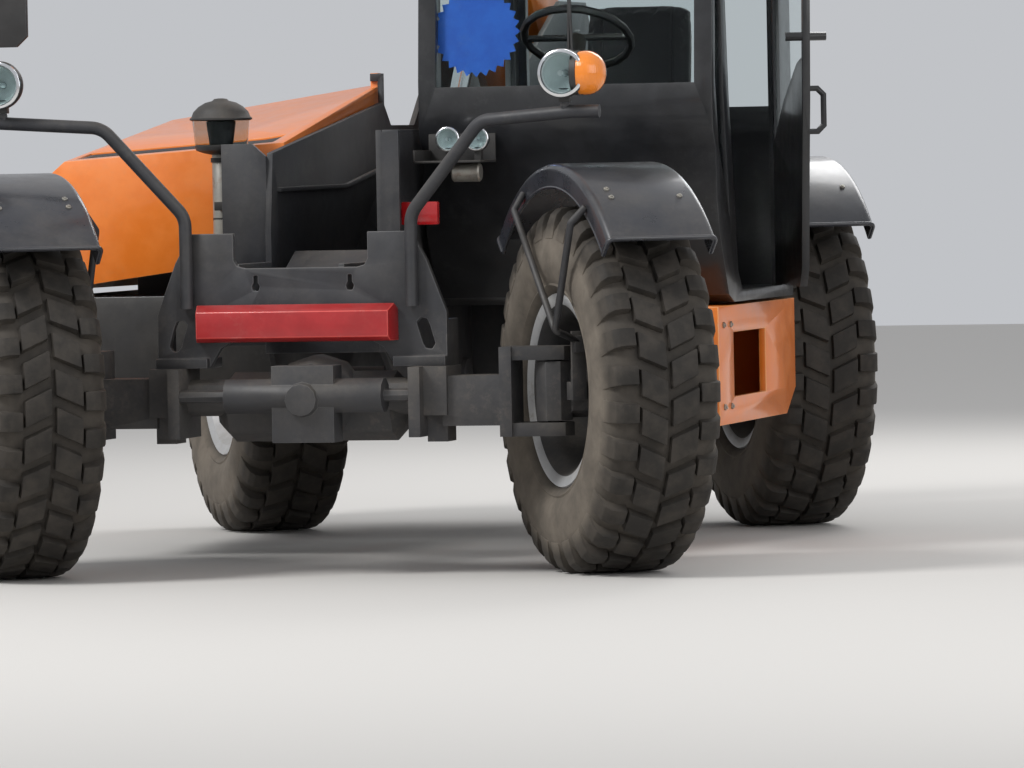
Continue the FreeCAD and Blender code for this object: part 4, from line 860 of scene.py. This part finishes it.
def preCleaner():
    # dome with its ledge, clear dust bowl, silvery pipe, elbow to the hood and bracket
    x, y, level = cleanerSize["x"], cleanerSize["y"], cleanerSize["elbow"]
    spot = (x, y, 0)
    dome = [(1.543, 0.100), (1.546, 0.109), (1.552, 0.109), (1.556, 0.103), (1.574, 0.096), (1.592, 0.078),
            (1.606, 0.054), (1.612, 0.030), (1.619, 0.022), (1.621, 0.008)]
    bowl = [(1.452, 0.088), (1.455, 0.092), (1.543, 0.1005), (1.543, 0.0965), (1.457, 0.0885)]
    base = [(1.425, 0.036), (1.430, 0.060), (1.440, 0.088), (1.452, 0.0935), (1.458, 0.0935), (1.460, 0.084),
            (1.450, 0.04)]
    core = [(1.450, 0.040), (1.540, 0.052), (1.545, 0.040)]
    pipe = [(1.142, 0.034), (1.426, 0.034), (1.430, 0.032)]
    clamp = [(1.398, 0.034), (1.398, 0.0385), (1.414, 0.0385), (1.414, 0.034)]
    parts = []
    for index, profile, ends in ((0, dome, True), (1, bowl, False), (0, base, True), (2, core, True),
                                 (3, pipe, True), (0, clamp, False)):
        parts.append((index, aimed(turned("cleaner", profile, 48, ends), up, spot)))
    route = [(x, y, 1.205), (x, y, level), (x, cleanerSize["hood"], level)]
    elbow = roundedPath(route, cleanerSize["elbowBend"])
    parts.append((0, swept("elbow", elbow, cleanerSize["elbowRadius"], 28)))
    parts.append((0, brick(*cleanerSize["strap"])))
    return remade("pre_cleaner", "preCleaner", parts, [blackPlastic, bowlGlass, castGrey, zincBolt])


lampArms()
frontLamps()
preCleaner()
print("lamps and pre-cleaner made")


# Mudguards

guardSize = {"radius": 0.735, "start": 42.0, "sweep": 96.0, "half": 0.190, "skirt": 0.055, "crown": 0.024,
             "wall": 0.010, "steps": 40, "strut": 0.012, "bead": 0.007}


def guardSection():
    # (x, radius) across the arch, out over the crown and back under it
    half, crown, wall, skirt = (guardSize[k] for k in ("half", "crown", "wall", "skirt"))
    turn = [(math.cos(math.radians(a)), math.sin(math.radians(a))) for a in range(0, 91, 15)]
    right = [(half, -skirt)] + [(half - crown + crown * c, crown * q) for c, q in turn]
    inner = crown - wall
    under = [(half - wall, -skirt)] + [(half - crown + inner * c, inner * q) for c, q in turn]
    over = right + [(-x, r) for x, r in reversed(right)]
    return over, [(-x, r) for x, r in under] + [(x, r) for x, r in reversed(under)]


def guardMesh(side):
    over, under = guardSection()
    section = over + under
    count, steps = len(section), guardSize["steps"]

    def spot(x, r, degrees):
        a = math.radians(degrees)
        reach = guardSize["radius"] + r
        return Vector((x, -math.cos(a) * reach, math.sin(a) * reach))

    first, last = guardSize["start"], guardSize["start"] + guardSize["sweep"]
    points, faces = [], []
    for i in range(steps + 1):
        degrees = first + guardSize["sweep"] * i / steps
        points += [spot(x, r, degrees) for x, r in section]
    for i in range(steps):
        for k in range(count):
            n = (k + 1) % count
            faces.append((i * count + k, i * count + n, (i + 1) * count + n, (i + 1) * count + k))
    half = len(over)
    for start in (0, steps * count):
        for k in range(half - 1):
            faces.append((start + k, start + k + 1, start + count - 2 - k, start + count - 1 - k))
    arch = meshFrom("arch", points, faces)
    outward(arch)
    parts = [(0, arch)]
    for degrees in (first + 0.3, last - 0.3):
        rim = [spot(x, r, degrees) for x, r in over]
        parts.append((0, swept("rim", rim, guardSize["bead"], 10)))
    for x in (-guardSize["half"] + 0.003, guardSize["half"] - 0.003):
        edge = [spot(x, -guardSize["skirt"], first + guardSize["sweep"] * i / steps) for i in range(steps + 1)]
        parts.append((0, swept("edge", edge, guardSize["bead"] * 0.8, 8)))
    for degrees in (60, 112):
        outer = spot(-0.194, -0.025, degrees)
        low = spot(-0.236, -0.085, degrees)
        route = [(-0.146, -0.136, 0.165), (-0.236, -0.150, 0.205), low, outer]
        parts.append((1, swept("strut", roundedPath(route, 0.02, 5), guardSize["strut"], 12)))
    parts.append((1, brick((-0.166, -0.1483, 0.130), (-0.126, -0.1223, 0.185))))
    for x, degrees in ((-0.12, 58), (0.12, 58), (-0.12, 62), (-0.12, 110), (0.12, 114), (-0.12, 114)):
        bolt = hexNut(0.010, 0.006)
        out = spot(0, 1, degrees).normalized()
        parts.append((2, aimed(bolt, out, spot(x, guardSize["crown"], degrees))))
    mesh = joined("mudguard", parts, [mudguardPlastic, frameGrey, zincBolt])
    if side < 0:
        # the right-hand wheels' own frame is turned half round, so front and back change places
        mesh.transform(Matrix.Scale(-1, 4, (0, 1, 0)))
        mesh.flip_normals()
    return mesh


for corner in corners:
    side = 1 if corner.endswith("left") else -1
    guard = guardMesh(side)
    guard.transform(wheelPlace(corner))
    smoothByAngle(guard)
    piece = addObject(corner + "Mudguard", guard)
    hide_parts(corner + "_mudguard")
    settle(piece, bodyOfNode[corner + "_mudguard"], "mudguard_plastic")
print("mudguards made")


# Blank sign inside the windscreen

signSize = {"centre": (0.372, -0.4235, 1.834), "outer": 0.158, "inner": 0.140, "points": 28, "thick": 0.001,
            "lean": 4.9}


def windowSign():
    count = signSize["points"] * 2
    points = []
    for x in (0.0, signSize["thick"]):
        for i in range(count):
            reach = signSize["inner"] if i % 2 else signSize["outer"]
            a = 2 * math.pi * i / count
            points.append((reach * math.cos(a), x, reach * math.sin(a)))
    faces = [list(range(count)), [count + i for i in reversed(range(count))]]
    faces += [(i, count + i, count + (i + 1) % count, (i + 1) % count) for i in range(count)]
    mesh = meshFrom("sign", points, faces)
    outward(mesh)
    lean = Matrix.Rotation(-math.radians(signSize["lean"]), 4, "X")
    mesh.transform(Matrix.Translation(signSize["centre"]) @ lean)
    return settle(addObject("windowSign", mesh), bodyOfNode["cab_glass"], "black_plastic", signBlue)


windowSign()
print("sign made")


# Seat, with cushions swollen as cloth

cushionSize = {"voxel": 0.006, "pressure": 4.0, "frames": 20, "cap": 0.016, "inset": 0.014, "channel": 0.006,
               "channelWidth": 0.005, "fill": 0.6}


def swollen(piece, mesh):
    # a closed cloth bag under pressure; its points stay within the cap of where they were
    rest = [v.co.copy() for v in mesh.vertices]
    modifier = piece.modifiers.new("cloth", "CLOTH")
    modifier.settings.use_pressure = True
    modifier.settings.uniform_pressure_force = cushionSize["pressure"]
    modifier.settings.effector_weights.gravity = 0.0
    modifier.point_cache.frame_start = 1
    modifier.point_cache.frame_end = cushionSize["frames"]
    for number in range(1, cushionSize["frames"] + 1):
        bpy.context.scene.frame_set(number)
    applied(piece)
    for vertex, start in zip(piece.data.vertices, rest):
        step = vertex.co - start
        if step.length > cushionSize["cap"]:
            vertex.co = start + step.normalized() * cushionSize["cap"]
    bpy.context.scene.frame_set(1)


def cushion(name, size, place, lean, channels):
    # a pad about its own middle, swollen, sewn along channels at given widths, then put in place
    half = [c / 2 - cushionSize["inset"] for c in size]
    form = bmesh.new()
    bmesh.ops.create_cube(form, size=2.0)
    bmesh.ops.subdivide_edges(form, edges=form.edges, cuts=11, use_grid_fill=True)
    for vertex in form.verts:
        c = vertex.co.copy()
        pull = [1 - 0.07 * abs(c[(k + 1) % 3]) ** 5 - 0.07 * abs(c[(k + 2) % 3]) ** 5 for k in range(3)]
        vertex.co = [c[k] * pull[k] * half[k] for k in range(3)]
    mesh = bpy.data.meshes.new(name)
    form.to_mesh(mesh)
    form.free()
    piece = addObject(name, mesh)
    remesh = piece.modifiers.new("remesh", "REMESH")
    remesh.mode = "VOXEL"
    remesh.voxel_size = cushionSize["voxel"]
    applied(piece)
    swollen(piece, piece.data)
    finer = piece.modifiers.new("finer", "SUBSURF")
    finer.levels = finer.render_levels = 1
    applied(piece)
    thin = min(range(3), key=lambda k: size[k])
    for vertex in piece.data.vertices:
        depth = sum(math.exp(-((vertex.co.x - x) / cushionSize["channelWidth"]) ** 2) for x in channels)
        shift = cushionSize["channel"] * depth
        vertex.co[thin] -= math.copysign(min(shift, abs(vertex.co[thin])), vertex.co[thin])
    piece.data.transform(Matrix.Translation(place) @ Matrix.Rotation(lean, 4, "X"))
    piece.data.shade_smooth()
    return settle(piece, bodyOfNode["seat"], "seat_cloth", seatCloth)


seatSize = {"middle": 0.700, "folds": 6, "fold": 0.0325, "foldLow": 0.955, "shrink": 0.012, "lean": 9.0,
            "channels": (-0.13, 0.13)}


def makeSeat():
    middle, fold = seatSize["middle"], seatSize["fold"]
    parts = [(0, brick((middle - 0.18, 0.1928, 0.9153), (middle + 0.18, 0.5928, seatSize["foldLow"]), 0.004)),
             (0, brick((middle - 0.21, 0.1328, 1.150), (middle + 0.21, 0.5828, 1.184), 0.008))]
    for i in range(seatSize["folds"]):
        # the suspension's bellows
        shrink = seatSize["shrink"] if i % 2 else 0.0
        low = seatSize["foldLow"] + fold * i
        near = (middle - 0.165 + shrink, 0.205 + shrink, low)
        far = (middle + 0.165 - shrink, 0.580 - shrink, low + fold)
        parts.append((1, brick(near, far, 0.008)))
    for x in (-0.16, 0.16):
        # hinge plates between cushion and backrest
        parts.append((0, brick((middle + x - 0.006, 0.50, 1.17), (middle + x + 0.006, 0.585, 1.36), 0.003)))
    remade("seat", "seatBase", parts, [blackPlastic, tyreRubber])
    channels = seatSize["channels"]
    cushion("seatCushion", (0.440, 0.480, 0.120), (middle, 0.3528, 1.243), 0.0, channels)
    lean = -math.radians(seatSize["lean"])
    cushion("seatBack", (0.440, 0.100, 0.655), (middle, 0.6200, 1.633), lean, channels)
    print("seat made")


makeSeat()


# Small fittings: mirror glass, wiper, reflector, bolts of the access step

fitting = {"mirror": (-1.003, -1.5080, 1.961), "mirrorHalf": (0.076, 0.116), "wiperX": 0.735,
           "wiperFoot": 1.640, "wiperTop": 2.020, "blade": (1.740, 2.290), "stepFace": 1.2152, "stepBolt": 0.011,
           "stepBoltY": (-0.345, -0.235), "stepBoltZ": (0.515, 0.800), "screenFoot": (-0.4758, 1.661),
           "screenLean": 0.0857, "reflector": ((0.190, -0.800, 1.170), (0.320, -0.765, 1.250)),
           "bracket": ((0.1455, -0.790, 1.195), (0.195, -0.775, 1.225)), "canister": (0.380, -0.620, 1.3475)}


def screenY(z):
    # the windscreen leans back as it rises
    y, foot = fitting["screenFoot"]
    return y + (z - foot) * fitting["screenLean"]


def fittingPiece(name, node, meshes, materials, slotName):
    mesh = joined(name, meshes, materials)
    smoothByAngle(mesh)
    return settle(addObject(name, mesh), bodyOfNode[node], slotName)


def makeFittings():
    x, y, z = fitting["mirror"]
    halfX, halfZ = fitting["mirrorHalf"]
    glass = brick((x - halfX, y - 0.0015, z - halfZ), (x + halfX, y + 0.0015, z + halfZ), 0.001)
    fittingPiece("mirrorGlass", "mirror", [(0, glass)], [chrome], "glass")
    x = fitting["wiperX"]
    foot, top = fitting["wiperFoot"], fitting["wiperTop"]
    low, high = fitting["blade"]
    arm = [Vector((x, screenY(foot) - 0.016, foot)), Vector((x - 0.02, screenY(top) - 0.016, top))]
    blade = [Vector((x - 0.02, screenY(low) - 0.009, low)), Vector((x - 0.02, screenY(high) - 0.009, high))]
    pivot = turned("pivot", [(-0.030, 0.016), (0.012, 0.016), (0.018, 0.010)], 24, True)
    parts = [(0, swept("arm", arm, 0.005, 10)), (0, swept("blade", blade, 0.006, 10)),
             (0, aimed(pivot, front, (x, screenY(foot) - 0.004, foot)))]
    fittingPiece("wiper", "cab_frame", parts, [blackPlastic], "cab_black")
    box, arm = brick(*fitting["reflector"], 0.006), brick(*fitting["bracket"])
    pot = turned("pot", [(-0.05, 0.028), (-0.045, 0.033), (0.045, 0.033), (0.05, 0.028)], 32, True)
    parts = [(0, box), (1, arm), (2, aimed(pot, toLeft, fitting["canister"]))]
    fittingPiece("reflector", "side_plates", parts, [redLens, frameGrey, zincBolt], "frame_grey")
    bolts = []
    for y in fitting["stepBoltY"]:
        for z in fitting["stepBoltZ"]:
            bolts.append((0, aimed(hexNut(fitting["stepBolt"], 0.007), toLeft, (fitting["stepFace"], y, z))))
    fittingPiece("stepBolts", "access_step", bolts, [zincBolt], slotOfNode["access_step"])
    print("fittings made")


makeFittings()


# Camera, light and floor

cameraPlace = {"location": (6.9067, -25.3096, 1.4418), "yaw": 14.49, "pitch": -1.861, "roll": -1.124,
               "focalPixels": 7383.2, "frameWidth": 1024, "sensor": 36.0}


def makeCamera():
    yaw, pitch, roll = (math.radians(cameraPlace[k]) for k in ("yaw", "pitch", "roll"))
    ahead = Vector((-math.sin(yaw) * math.cos(pitch), math.cos(yaw) * math.cos(pitch), math.sin(pitch)))
    right = ahead.cross(Vector((0, 0, 1))).normalized()
    above = right.cross(ahead)
    level = right * math.cos(roll) + above * math.sin(roll)
    upright = above * math.cos(roll) - right * math.sin(roll)
    data = bpy.data.cameras.new("camera")
    data.sensor_width = cameraPlace["sensor"]
    data.lens = cameraPlace["focalPixels"] / cameraPlace["frameWidth"] * cameraPlace["sensor"]
    data.clip_end = 200.0
    camera = bpy.data.objects.new("camera", data)
    turn = Matrix((level, upright, -ahead)).transposed().to_4x4()
    camera.matrix_world = Matrix.Translation(cameraPlace["location"]) @ turn
    bpy.context.scene.collection.objects.link(camera)
    bpy.context.scene.camera = camera


# place, width and power of each soft light
lightPlan = {"key": ((-5.0, -6.5, 8.5), 3.2, 820.0), "fill": ((7.5, -6.0, 4.0), 6.0, 220.0),
             "back": ((2.0, 8.0, 6.5), 5.0, 380.0)}
skyLook = {"colour": (0.86, 0.88, 0.92, 1), "strength": 0.62}
floorSize = 30.0


def makeLights():
    for name, (spot, size, power) in lightPlan.items():
        data = bpy.data.lights.new(name, "AREA")
        data.size = size
        data.energy = power
        light = bpy.data.objects.new(name, data)
        light.location = spot
        light.rotation_euler = (Vector((0, 0, 1.0)) - Vector(spot)).to_track_quat("-Z", "Y").to_euler()
        bpy.context.scene.collection.objects.link(light)
    world = bpy.data.worlds.new("studio")
    world.use_nodes = True
    sky = world.node_tree.nodes["Background"]
    sky.inputs["Color"].default_value = skyLook["colour"]
    sky.inputs["Strength"].default_value = skyLook["strength"]
    bpy.context.scene.world = world


def makeFloor():
    size = floorSize
    rim = [(-size, -size, 0), (size, -size, 0), (size, size, 0), (-size, size, 0)]
    mesh = meshFrom("floor", rim, [(0, 1, 2, 3)])
    material, tree, shader = newMaterial("paleFloor")
    shader.inputs["Base Color"].default_value = (0.62, 0.60, 0.57, 1)
    shader.inputs["Roughness"].default_value = 0.9
    mesh.materials.append(material)
    addObject("floor", mesh)


makeCamera()
makeLights()
makeFloor()
bpy.context.scene.view_settings.view_transform = "Standard"
print("camera, lights and floor set")
